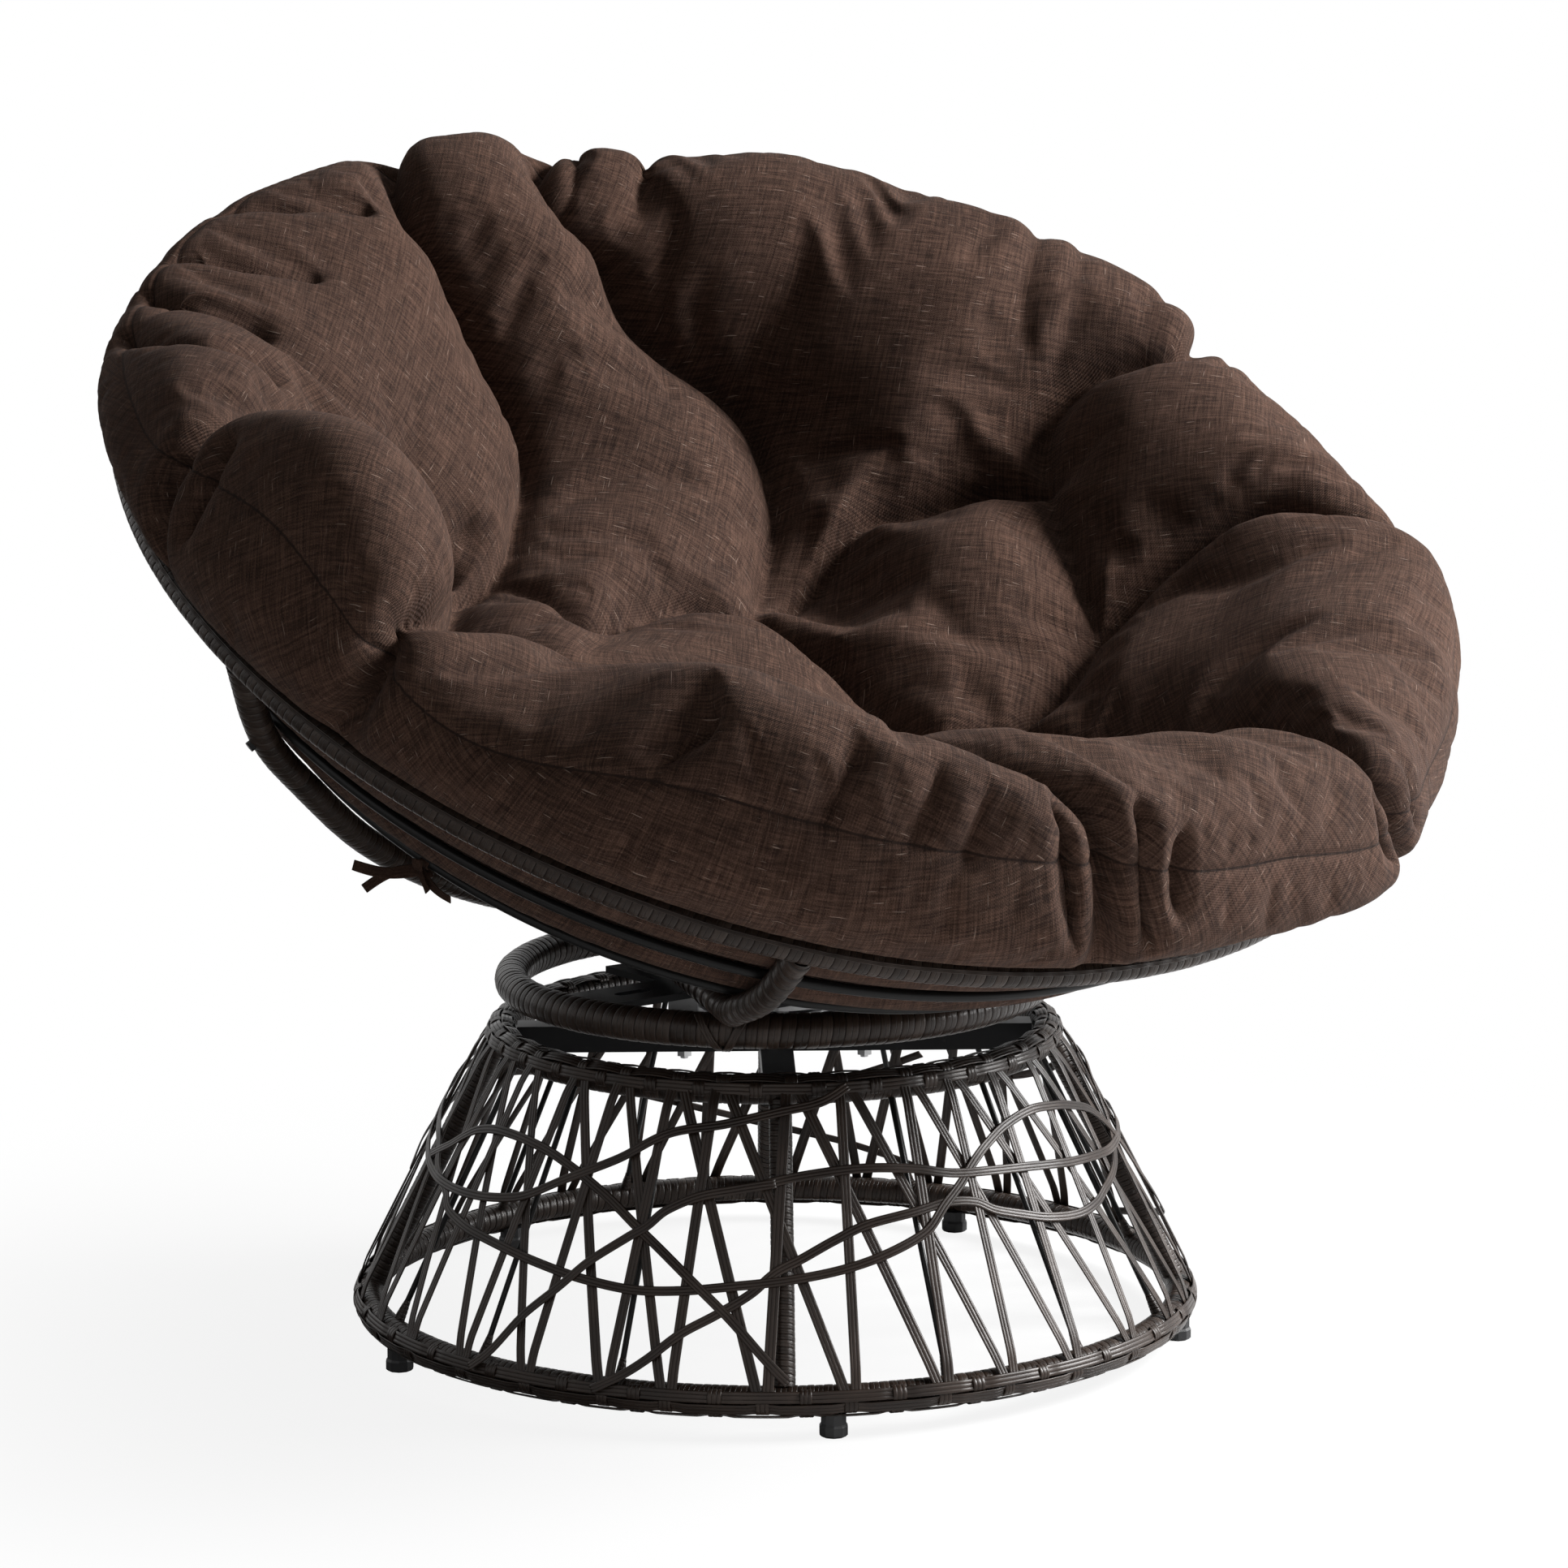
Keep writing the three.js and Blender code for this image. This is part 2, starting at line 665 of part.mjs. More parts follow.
// Stamped cross-shaped plate whose four arms end in arcs against the inside of the swivel ring
function spider(group) {
  const reach = (swivelRingRadius - swivelRingTube) * Math.cos(Math.PI / ringSegments) - seatGap;
  const hub = spiderHub / 2;
  const arm = spiderArm / 2;
  const endTurn = Math.asin(arm / reach);
  const corners = [];
  for (let i = 0; i < 4; i += 1) {
    const turn = (Math.PI / 2) * i;
    for (let k = -2; k <= 2; k += 1) {
      const at = turn + (endTurn * k) / 2;
      corners.push(new THREE.Vector2(reach * Math.cos(at), reach * Math.sin(at)));
    }
    for (const [x, y] of [[hub, arm], [hub, hub], [arm, hub]]) {
      corners.push(new THREE.Vector2(x, y).rotateAround(new THREE.Vector2(0, 0), turn));
    }
  }
  const outline = new THREE.Shape(corners);
  outline.holes.push(roundHole(spiderBore, 24));
  for (let i = 0; i < 4; i += 1) {
    outline.holes.push(turnedSlot(90 * i, boltCircle, slotLength, 2 * (boltRadius + holeClearance)));
    outline.holes.push(turnedSlot(90 * i, armSlotPlace, armSlotLength, armSlotWidth));
  }
  const plate = new THREE.ExtrudeGeometry(outline, {
    depth: spiderThickness,
    bevelEnabled: false,
  }).translate(0, 0, spiderTop - spiderThickness);
  group.add(part("spider_plate", plate, blackSteel));
}

// Seat frame

function swivelRing(group) {
  const ring = ringTube(swivelRingRadius, swivelRingTube, swivelRingHeight, ringSegments, tubeSides);
  group.add(part("swivel_ring", ring, strandSurface));
}

// Line of a rail from the front of the rim down over the swivel ring and on to the ring's back
function railCurve(side) {
  const height = swivelRingHeight + swivelRingTube + seatGap + railTube;
  const over = onCircle(swivelRingRadius, railRingAngle, height);
  const rimEnd = underRim(railRimAngle, rimTube * 0.4);
  const away = rimEnd.clone().setZ(height).sub(over).normalize();
  const tailShare = (-railEndSide - over.x) / away.x;
  const tail = over.clone().addScaledVector(away, tailShare);
  const clear = hoopRod + railTube + seatGap;
  const points = [
    tail,
    over.clone().lerp(tail, 0.5),
    over,
    over.clone().addScaledVector(away, 38),
    outsideHoop(lowerHoop, railRimAngle, clear),
    outsideHoop(upperHoop, railRimAngle, clear),
    rimEnd,
  ];
  for (const point of points) {
    point.x *= side;
  }
  return new THREE.CatmullRomCurve3(points, false, "centripetal");
}

function railSolid(side, clearance) {
  return bentTube(railCurve(side), railTube + clearance, 24, tubeSides);
}

function rail(group, side) {
  const name = side > 0 ? "rail_left" : "rail_right";
  group.add(part(name, cut(railSolid(side, 0), rimCutter()), strandSurface));
}

// Line of the tube from one side of the rim under the bowl to the other side, lying on the two rails
function cradleCurve() {
  const lowest = cradleTop - cradleTube;
  const bottomDrop = (rimCentreHeight - lowest) / Math.cos(radians(rimTilt));
  const clear = hoopRod + cradleTube + seatGap;
  const points = [];
  for (const side of [1, -1]) {
    const angle = side > 0 ? cradleRimAngle : 540 - cradleRimAngle;
    const half = [
      underRim(angle, rimTube * 0.6),
      outsideHoop(upperHoop, angle, clear),
      outsideHoop(lowerHoop, angle, clear),
      inBowl(angle, lowerHoop.radius * 0.83, bottomDrop * 0.64),
      inBowl(angle, lowerHoop.radius * 0.58, bottomDrop * 0.82),
      inBowl(angle, lowerHoop.radius * 0.3, bottomDrop * 0.955),
    ];
    points.push(...(side > 0 ? half : half.reverse()));
    if (side > 0) {
      points.push(inBowl(angle, 0, bottomDrop));
    }
  }
  return new THREE.CatmullRomCurve3(points, false, "centripetal");
}

function cradleSolid(clearance) {
  return bentTube(cradleCurve(), cradleTube + clearance, cradleSteps, tubeSides);
}

function cradle(group) {
  group.add(part("cradle", cut(cradleSolid(0), rimCutter()), strandSurface));
}

// Line of the tube up the back of the bowl, from the swivel ring to the rim
function spineCurve() {
  const clear = hoopRod + spineTube + seatGap;
  const foot = onCircle(swivelRingRadius, 90, swivelRingHeight);
  const points = [
    foot,
    foot.clone().add(new THREE.Vector3(0, spineFootRise, spineFootRise * 0.35)),
    outsideHoop(lowerHoop, 90, clear).lerp(foot, 0.62).add(new THREE.Vector3(0, 14, 0)),
    outsideHoop(lowerHoop, 90, clear).lerp(foot, 0.3).add(new THREE.Vector3(0, 12, 0)),
    outsideHoop(lowerHoop, 90, clear),
    outsideHoop(upperHoop, 90, clear),
    underRim(90, rimTube * 0.4),
  ];
  return new THREE.CatmullRomCurve3(points, false, "centripetal");
}

function spineSolid(clearance) {
  return bentTube(spineCurve(), spineTube + clearance, 24, tubeSides);
}

function spine(group) {
  group.add(part("spine", cut(spineSolid(0), rimCutter(), swivelRingCutter()), strandSurface));
}

// Point of the cradle's own line that lies nearest to a place
function nearestOnCradle(place) {
  const points = cradleCurve().getSpacedPoints(cradleSteps);
  let nearest = points[0];
  for (let i = 1; i < points.length; i += 1) {
    const chord = new THREE.Line3(points[i - 1], points[i]);
    const point = chord.closestPointToPoint(place, true, new THREE.Vector3());
    if (point.distanceTo(place) < nearest.distanceTo(place)) {
      nearest = point;
    }
  }
  return nearest;
}

// Screws through the cradle into the upper hoop, one on each side. A head is hollowed to sit on the round tube.
function cradleScrews(group) {
  for (const side of ["left", "right"]) {
    const angle = side === "left" ? cradleRimAngle : 540 - cradleRimAngle;
    const hoopCentre = outsideHoop(upperHoop, angle, 0);
    const middle = nearestOnCradle(hoopCentre);
    const axis = middle.clone().sub(hoopCentre).normalize();
    const seat = cradleTube / 2;
    const out = cradleTube + seatGap + screwHeadHeight;
    const head = cylinder(screwHead, out - seat, 10);
    head.applyQuaternion(new THREE.Quaternion().setFromUnitVectors(new THREE.Vector3(0, 0, 1), axis));
    head.translate(...middle.addScaledVector(axis, (seat + out) / 2).toArray());
    group.add(part(`cradle_screw_${side}`, cut(head, cradleSolid(seatGap)), zincSteel));
  }
}

function bowlRings(bowl) {
  bowl.add(part("rim_ring", ringTube(rimRadius, rimTube, 0, rimSegments, tubeSides), strandSurface));
  const hoops = [["upper_hoop", upperHoop], ["lower_hoop", lowerHoop]];
  for (const [name, hoop] of hoops) {
    const ring = ringTube(hoop.radius, hoopRod, -hoop.drop, rimSegments, 6);
    bowl.add(part(name, ring, blackSteel));
  }
}

// Cushion

// How full the cushion is at an angle: the lobe's own height and reach, drawn in at its two seams
function lobeAt(degrees) {
  const count = cushionLobes.length;
  const at = cushionLobes.findIndex((lobe) => degrees >= lobe.start && degrees <= lobe.end);
  const lobe = cushionLobes[at];
  const share = (degrees - lobe.start) / (lobe.end - lobe.start);
  const neighbour = cushionLobes[(at + (share < 0.5 ? count - 1 : 1)) % count];
  const fullness = Math.pow(4 * share * (1 - share), 0.4);
  const seamTop = (lobe.top + neighbour.top) / 2;
  const seamOverhang = (lobe.overhang + neighbour.overhang) / 2;
  return {
    top: THREE.MathUtils.lerp(seamTop, lobe.top, fullness),
    reach: rimRadius + THREE.MathUtils.lerp(seamOverhang, lobe.overhang, fullness),
    pinch: 1 - fullness,
  };
}

// Section of the cushion from under its middle, out over the rim, and back to the seat's middle
function cushionSection(degrees) {
  const { top, reach, pinch } = lobeAt(degrees);
  const touch = Math.SQRT1_2 * (hoopRod + hoopClearance);
  const above = rimTube + hoopClearance;
  const inward = pinchDepth * pinch;
  const lowered = top * 0.35 * pinch;
  const crease = tuftDepth * pinch;
  const underside = [
    [0.19, 0.047],
    [0.405, 0.22],
    [0.647, 0.523],
    [0.849, 0.825],
  ].map(([out, up]) => {
    const radius = out * lowerHoop.radius;
    const height = THREE.MathUtils.lerp(cushionBottom, -lowerHoop.drop, up);
    return [radius, Math.max(height, cushionFloor(degrees, radius))];
  });
  return [
    ...underside,
    [lowerHoop.radius - touch, -lowerHoop.drop + touch],
    [upperHoop.radius - touch, -upperHoop.drop + touch],
    [rimRadius - 34, -29],
    [rimRadius - 20, -6],
    [rimRadius - 12, above - 2],
    [rimRadius + 2, above],
    [rimRadius + 18 - inward * 0.3, above + 9],
    [reach - inward * 0.8, 54],
    [reach - 4 - inward, top * 0.56 + 12],
    [reach - 20 - inward, top * 0.88 - lowered * 0.5],
    [reach - 50 - inward, top - lowered * 0.8],
    [reach - 90 - inward, top * 0.97 - lowered],
    [reach - 135 - inward * 0.6, top * 0.74 - lowered],
    [reach - 185 - inward * 0.3, top * 0.38 - 14 - lowered * 0.9 - crease * 0.4],
    [panelRadius + 55, -34 - crease],
    [panelRadius, -78 - crease * 0.5],
    [panelRadius - 50, -72 - crease],
    [95, -86 - crease * 0.7],
    [45, -cushionSeatDrop - 8],
  ];
}

const railTop = swivelRingHeight + swivelRingTube + seatGap + 2 * railTube;
const cradleTop = railTop + seatGap + 2 * cradleTube;
const cushionBottom = -(rimCentreHeight - cradleTop - cushionBottomGap) / Math.cos(radians(rimTilt));

// Lowest place in the bowl's frame that the underside may reach: the cradle's top from the middle
// backwards, and the rails' top towards the front
function cushionFloor(degrees, radius) {
  const upSlope = radius * Math.sin(radians(degrees));
  const forward = THREE.MathUtils.smoothstep(-upSlope, 70, 160);
  const lowest = THREE.MathUtils.lerp(cradleTop, railTop, forward) + cushionBottomGap;
  const rise = rimCentreHeight + upSlope * Math.sin(radians(rimTilt));
  return -(rise - lowest) / Math.cos(radians(rimTilt));
}

// Columns close up towards each seam so that the pinches are sharp
function cushionAngles() {
  const angles = [];
  for (const lobe of cushionLobes) {
    const steps = Math.max(4, 2 * Math.round((lobe.end - lobe.start) / 16));
    for (let i = 0; i < steps; i += 1) {
      const share = (1 - Math.cos((Math.PI * i) / steps)) / 2;
      angles.push(lobe.start + (lobe.end - lobe.start) * (0.5 * share + (0.5 * i) / steps));
    }
  }
  return angles;
}

function cushion(bowl) {
  const angles = cushionAngles();
  const sections = angles.map(cushionSection);
  const rows = sections[0].length;
  const positions = [0, 0, cushionBottom, 0, 0, -cushionSeatDrop - tuftDepth];
  const index = [];
  sections.forEach((section, i) => {
    for (const [radius, height] of section) {
      const corner = onCircle(radius, angles[i], height);
      positions.push(corner.x, corner.y, corner.z);
    }
  });
  const at = (i, j) => 2 + (i % angles.length) * rows + j;
  for (let i = 0; i < angles.length; i += 1) {
    index.push(0, at(i + 1, 0), at(i, 0));
    index.push(1, at(i, rows - 1), at(i + 1, rows - 1));
    for (let j = 0; j < rows - 1; j += 1) {
      index.push(at(i, j), at(i + 1, j), at(i + 1, j + 1));
      index.push(at(i, j), at(i + 1, j + 1), at(i, j + 1));
    }
  }
  const geometry = new THREE.BufferGeometry();
  geometry.setAttribute("position", new THREE.Float32BufferAttribute(positions, 3));
  geometry.setIndex(index);
  bowl.add(part("cushion", cut(geometry, ...cushionDents()), brownCloth));
}

// Tubes, rim and hoops, each with its clearance: where the filling would reach one of them, it takes its dent
function cushionDents() {
  const tubes = [cradleSolid(cushionClearance), railSolid(1, cushionClearance), railSolid(-1, cushionClearance), spineSolid(cushionClearance)];
  const toBowl = bowlFrame.clone().invert();
  return [
    ...tubes.map((tube) => tube.applyMatrix4(toBowl)),
    ringTube(rimRadius, rimTube + cushionClearance, 0, rimSegments, tubeSides),
    ringTube(upperHoop.radius, hoopRod + cushionClearance, -upperHoop.drop, rimSegments, 6),
    ringTube(lowerHoop.radius, hoopRod + cushionClearance, -lowerHoop.drop, rimSegments, 6),
  ];
}

// Tie ribbons: a knot outside the lower hoop and two free ends
function ties(bowl) {
  tieAngles.forEach((angle, i) => {
    const knotSize = tieWidth * 0.9;
    const out = hoopRod + seatGap + knotSize / 2;
    const slope = Math.SQRT1_2;
    const knot = new THREE.BoxGeometry(knotSize, tieWidth, knotSize).rotateY(Math.PI / 4);
    const ends = [-1, 1].map((side) =>
      new THREE.BoxGeometry(tieLength, tieThickness, tieWidth)
        .translate(tieLength / 2, 0, 0)
        .rotateY(radians(12 * side + 25))
        .rotateZ(radians(38 * side)),
    );
    const tie = join(knot, ...ends);
    tie.translate(lowerHoop.radius + slope * out, 0, -lowerHoop.drop - slope * out);
    tie.rotateZ(radians(angle));
    bowl.add(part(`tie_${i + 1}`, tie, brownCloth));
  });
}

const chair = new THREE.Group();
const stand = new THREE.Group();
standRings(stand);
posts(stand);
glides(stand);
lacing(stand);
weavers(stand);
lowerCross(stand);
lowerSwivel(stand);
ballCage(stand);

const seat = new THREE.Group();
upperSwivel(seat);
spider(seat);
swivelRing(seat);
rail(seat, 1);
rail(seat, -1);
cradle(seat);
spine(seat);
cradleScrews(seat);

const bowl = new THREE.Group();
bowl.applyMatrix4(bowlFrame);
bowlRings(bowl);
cushion(bowl);
ties(bowl);
seat.add(bowl);

chair.add(stand, seat);
chair.position.y = axisSetBack;

export default chair;
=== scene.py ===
import bmesh
import bpy
import numpy as np
from mathutils import Matrix, Vector


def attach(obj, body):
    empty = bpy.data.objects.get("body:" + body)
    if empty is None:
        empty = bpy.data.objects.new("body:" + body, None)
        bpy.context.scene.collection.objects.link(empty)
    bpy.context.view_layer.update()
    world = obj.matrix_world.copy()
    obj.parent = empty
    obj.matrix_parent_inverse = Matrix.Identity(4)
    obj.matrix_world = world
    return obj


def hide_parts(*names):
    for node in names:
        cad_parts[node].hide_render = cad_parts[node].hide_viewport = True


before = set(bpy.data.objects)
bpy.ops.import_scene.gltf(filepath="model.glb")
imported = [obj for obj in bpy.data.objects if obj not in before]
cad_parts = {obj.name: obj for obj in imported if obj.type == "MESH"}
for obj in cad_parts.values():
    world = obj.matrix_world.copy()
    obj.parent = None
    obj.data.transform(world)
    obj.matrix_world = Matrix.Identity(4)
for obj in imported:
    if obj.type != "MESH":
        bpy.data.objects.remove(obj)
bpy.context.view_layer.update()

# Swivel papasan chair. Lengths are millimetres in the chair's own frame (turning axis at x = y = 0)
# until a piece becomes a mesh; the axis stands axisBack behind the origin.
axisBack = 24.0

# Gathers grids of points into one mesh. A face looks along (second direction) x (first direction).
class Shell:
    def __init__(self):
        self.points, self.quads, self.tris = [], [], []
        self.quadUv, self.triUv, self.count = [], [], 0

    # p: rows x columns x 3 points; uv: one row or column more where the grid closes on itself.
    # meets: the row whose first column closes each row's round of columns, where that isn't its own
    def grid(self, p, uv, roundRows=False, roundColumns=False, caps=False, meets=None, flip=False):
        rows, columns = p.shape[:2]
        at = self.count + np.arange(rows * columns).reshape(rows, columns)
        last = at[:, :1] if meets is None else at[meets, :1]
        if roundColumns:
            at = np.hstack([at, last])
        if roundRows:
            at = np.vstack([at, at[:1]])
        quad = np.stack([at[:-1, :-1], at[:-1, 1:], at[1:, 1:], at[1:, :-1]], -1).reshape(-1, 4)
        both = np.stack([uv[:-1, :-1], uv[:-1, 1:], uv[1:, 1:], uv[1:, :-1]], -2).reshape(-1, 4, 2)
        if flip:
            quad, both = quad[:, ::-1], both[:, ::-1]
        self.points.append(p.reshape(-1, 3))
        self.quads.append(quad)
        self.quadUv.append(both)
        self.count += rows * columns
        if caps:
            for row, turned in ((0, True), (-1, False)):
                ring = at[row]
                middle = self.count
                self.points.append(p[row].mean(0)[None])
                self.count += 1
                fan = np.stack([np.full(len(ring) - 1, middle), ring[:-1], ring[1:]], -1)
                tip = uv[row].mean(0)
                fanUv = np.stack([np.repeat(tip[None], len(ring) - 1, 0), uv[row][:-1], uv[row][1:]], 1)
                if turned != flip:
                    fan, fanUv = fan[:, ::-1], fanUv[:, ::-1]
                self.tris.append(fan)
                self.triUv.append(fanUv)

    def mesh(self, name):
        points = np.concatenate(self.points).astype(np.float32)
        points = (points + np.float32([0, axisBack, 0])) / np.float32(1000)
        quads = np.concatenate(self.quads)
        tris = np.concatenate(self.tris) if self.tris else np.zeros((0, 3), int)
        loops = np.concatenate([quads.ravel(), tris.ravel()])
        starts = np.concatenate([np.arange(len(quads)) * 4, len(quads) * 4 + np.arange(len(tris)) * 3])
        data = bpy.data.meshes.new(name)
        data.vertices.add(len(points))
        data.vertices.foreach_set("co", points.ravel())
        data.loops.add(len(loops))
        data.loops.foreach_set("vertex_index", loops.astype(np.int32))
        data.polygons.add(len(starts))
        data.polygons.foreach_set("loop_start", starts.astype(np.int32))
        uvs = np.concatenate([np.concatenate(self.quadUv).reshape(-1, 2)] + [u.reshape(-1, 2) for u in self.triUv])
        layer = data.uv_layers.new(name="lay")
        layer.data.foreach_set("uv", uvs.astype(np.float32).ravel())
        data.update(calc_edges=True)
        data.validate()
        data.shade_smooth()
        return data


def addPiece(name, shell, body, look, replaces=()):
    piece = bpy.data.objects.new(name, shell.mesh(name) if isinstance(shell, Shell) else shell)
    bpy.context.scene.collection.objects.link(piece)
    piece.data.materials.append(look)
    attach(piece, body)
    if replaces:
        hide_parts(*replaces)
    print("piece", name, len(piece.data.polygons), "faces")
    return piece


def unit(v):
    return v / np.maximum(np.linalg.norm(v, axis=-1, keepdims=True), 1e-12)


def deg(a):
    return np.radians(np.asarray(a, float))


# Steps of a cubic from 0 at a to 1 at b
def smooth(a, b, x):
    t = np.clip((x - a) / (b - a), 0, 1)
    return t * t * (3 - 2 * t)


# Same number between 0 and 1 for the same whole number, without a pattern
def scatter(n, seed=0.0):
    return np.modf(np.abs(np.sin(np.asarray(n, float) * 12.9898 + seed * 78.233) * 43758.5453))[0]


# Smooth wander between -1 and 1 that comes round after a full turn: three sines of unlike lengths
def wander(x, seed=0.0):
    return (np.sin(x + seed) + np.sin(2 * x + 1.3 * seed + 1) + np.sin(5 * x + 2.1 * seed + 2)) / 3


# Centripetal Catmull-Rom curve through points, as finely as asked
def curveThrough(points, steps=40, closed=False):
    p = np.asarray(points, float)
    p = np.vstack([p[-1:], p, p[:2]]) if closed else np.vstack([2 * p[:1] - p[1:2], p, 2 * p[-1:] - p[-2:-1]])
    knots = np.concatenate([[0], np.cumsum(np.sqrt(np.linalg.norm(np.diff(p, axis=0), axis=1)))])
    out = []
    for i in range(1, len(p) - 2):
        t = np.linspace(knots[i], knots[i + 1], steps, endpoint=False)[:, None]
        # each pass takes neighbours together, by where t lies between the knots that they reach
        level = list(p[i - 1:i + 3])
        for span, first in ((1, i - 1), (2, i - 1), (1, i)):
            ends = [(knots[first + k], knots[first + k + span]) for k in range(len(level) - 1)]
            level = [(high - t) / (high - low) * level[k] + (t - low) / (high - low) * level[k + 1]
                     for k, (low, high) in enumerate(ends)]
        out.append(level[0])
    if not closed:
        out.append(p[-2:-1])
    return np.vstack(out)


# Length along a polyline at each of its points
def lengthAlong(p):
    return np.concatenate([[0], np.cumsum(np.linalg.norm(np.diff(p, axis=0), axis=1))])


def placeAt(p, s, along):
    return np.stack([np.interp(s, along, p[:, k]) for k in range(3)], -1)


# Directions along a path, beside it and square to both, from one vector the path never follows
def pathFrames(p, away, closed=False):
    if closed:
        t = unit(np.roll(p, -1, 0) - np.roll(p, 1, 0))
    else:
        t = unit(np.gradient(p, axis=0))
    n = unit(away - (away * t).sum(-1, keepdims=True) * t)
    return t, n, np.cross(t, n)


# A socket whose arithmetic adds the Math nodes for it
class Flow:
    def __init__(self, look, socket):
        self.look, self.socket = look, socket

    def do(self, operation, *others):
        return self.look.node("ShaderNodeMath", dict(operation=operation), [self, *others])

    def __rsub__(self, other):
        return self.look.node("ShaderNodeMath", dict(operation="SUBTRACT"), [other, self])

    # 0 below low, 1 above high, smooth between
    def rise(self, low, high):
        return self.look.node("ShaderNodeMapRange", dict(interpolation_type="SMOOTHSTEP"),
                              {"Value": self, "From Min": low, "From Max": high})


for name, operation in dict(__add__="ADD", __radd__="ADD", __sub__="SUBTRACT", __mul__="MULTIPLY",
                            __truediv__="DIVIDE", __pow__="POWER", frac="FRACT", floor="FLOOR", abs="ABSOLUTE",
                            least="MINIMUM", most="MAXIMUM").items():
    setattr(Flow, name, lambda self, *others, operation=operation: self.do(operation, *others))


# Nodes of a material, or of the world
class Look:
    def __init__(self, name, kept=bpy.data.materials):
        self.owner = kept.new(name)
        self.owner.use_nodes = True
        self.tree = self.owner.node_tree
        self.tree.nodes.clear()

    # Any node: its settings first, then the values or links of its sockets, by name or in order
    def node(self, kind, settings=None, sockets=None, out=0):
        made = self.tree.nodes.new(kind)
        for key, value in (settings or {}).items():
            setattr(made, key, value)
        pairs = enumerate(sockets) if isinstance(sockets, list) else (sockets or {}).items()
        for key, value in pairs:
            socket = made.inputs[key]
            if isinstance(value, Flow):
                self.tree.links.new(value.socket, socket)
            elif isinstance(value, tuple) and len(value) == 3 and socket.type == "RGBA":
                socket.default_value = (*value, 1)
            else:
                socket.default_value = value
        return Flow(self, made.outputs[out]) if made.outputs else None

    def place(self):
        return self.node("ShaderNodeTexCoord", out="Object")

    def lay(self):
        split = self.node("ShaderNodeSeparateXYZ", None, [self.node("ShaderNodeUVMap", dict(uv_map="lay"))])
        return split, Flow(self, split.socket.node.outputs[1])

    def vector(self, x, y, z=0.0):
        return self.node("ShaderNodeCombineXYZ", None, [x, y, z])

    def noise(self, vector, scale, detail=2.0, rough=0.5):
        return self.node("ShaderNodeTexNoise", None, {"Vector": vector, "Scale": scale, "Detail": detail,
                                                      "Roughness": rough})

    # Mix of two colours by a number
    def blend(self, share, first, second):
        return self.node("ShaderNodeMix", dict(data_type="RGBA"),
                         {0: share, 6: first if isinstance(first, Flow) else (*first, 1),
                          7: second if isinstance(second, Flow) else (*second, 1)}, out=2)

    def bump(self, height, metres, strength=1.0):
        return self.node("ShaderNodeBump", None, {"Height": height, "Distance": metres, "Strength": strength})

    def finish(self, colour, roughness, normal=None, **fixed):
        sockets = {"Base Color": colour if isinstance(colour, Flow) else (*colour, 1), "Roughness": roughness}
        if normal is not None:
            sockets["Normal"] = normal
        sockets.update({key.replace("_", " "): value for key, value in fixed.items()})
        shader = self.node("ShaderNodeBsdfPrincipled", None, sockets)
        self.node("ShaderNodeOutputMaterial", None, {"Surface": shader})
        return self.owner


# Flat resin strand. UV x counts strands across, UV y runs along them in metres.
wickerColours = dict(dark=(0.0125, 0.0076, 0.0053), mid=(0.029, 0.0182, 0.0132), grey=(0.057, 0.044, 0.0365))


def wickerLook(name, grooves=2, roughness=0.36):
    look = Look(name)
    across, along = look.lay()
    f = across.frac()
    near = (f * (grooves + 1)).frac()
    ridge = (near - 0.5).abs() * 2                       # 1 on a groove line and on both edges
    groove = ridge.rise(0.82, 0.97)
    edge = ((f - 0.5).abs() * 2).rise(0.9, 1.0)
    streak = look.noise(look.vector(f * 7, along * 22), 1.0, 3.0, 0.6)
    grain = look.noise(look.vector(f * 40, along * 60, 3.0), 1.0, 2.0, 0.6)
    patch = look.noise(look.place(), 9.0, 3.0, 0.55)
    tone = look.noise(look.vector(2.0, along * 17), 1.0, 1.0, 0.5).rise(0.3, 0.7)
    light = streak * 0.55 + grain * 0.25 + tone * 0.35 + patch * 0.35 - 0.62
    colour = look.blend((light * 1.9 + 0.28).rise(0, 1), wickerColours["dark"], wickerColours["mid"])
    colour = look.blend((light * 1.6 - 0.1).rise(0, 1) * 0.8, colour, wickerColours["grey"])
    # painted shade: the groove lines and both edges of each strand are darkened in colour, where shade falls
    colour = look.blend((groove * 0.55).most(edge * 0.8), colour, (0.010, 0.0075, 0.0065))
    rough = (roughness + (grain - 0.5) * 0.16 + (patch - 0.5) * 0.2 + groove * 0.2).least(0.9)
    height = grain * 0.12 + streak * 0.16 - groove * 0.55 - edge * 0.5
    return look.finish(colour, rough, look.bump(height, 0.0005, 0.9), Specular_IOR_Level=0.2)


def steelLook(name, dark, pale, roughness, metallic, speck=900.0, scratch=0.3):
    look = Look(name)
    place = look.place()
    cloud = look.noise(place, 14.0, 4.0, 0.6)
    fine = look.noise(place, speck, 2.0, 0.6)
    dust = look.noise(place, 60.0, 5.0, 0.7).rise(0.58, 0.8)
    colour = look.blend(cloud, dark, pale)
    colour = look.blend(dust * scratch, colour, (0.09, 0.085, 0.08))
    rough = roughness + (cloud - 0.5) * 0.2 + dust * 0.15
    return look.finish(colour, rough, look.bump(fine * 0.6 + cloud * 0.4, 0.00012, 0.6), Metallic=metallic,
                       Specular_IOR_Level=0.14)


def plasticLook(name):
    look = Look(name)
    place = look.place()
    fine = look.noise(place, 1400.0, 2.0, 0.6)
    cloud = look.noise(place, 40.0, 4.0, 0.6)
    colour = look.blend(cloud, (0.0075, 0.0075, 0.008), (0.018, 0.018, 0.019))
    return look.finish(colour, 0.42 + cloud * 0.25, look.bump(fine, 0.00012, 0.7), Specular_IOR_Level=0.3)


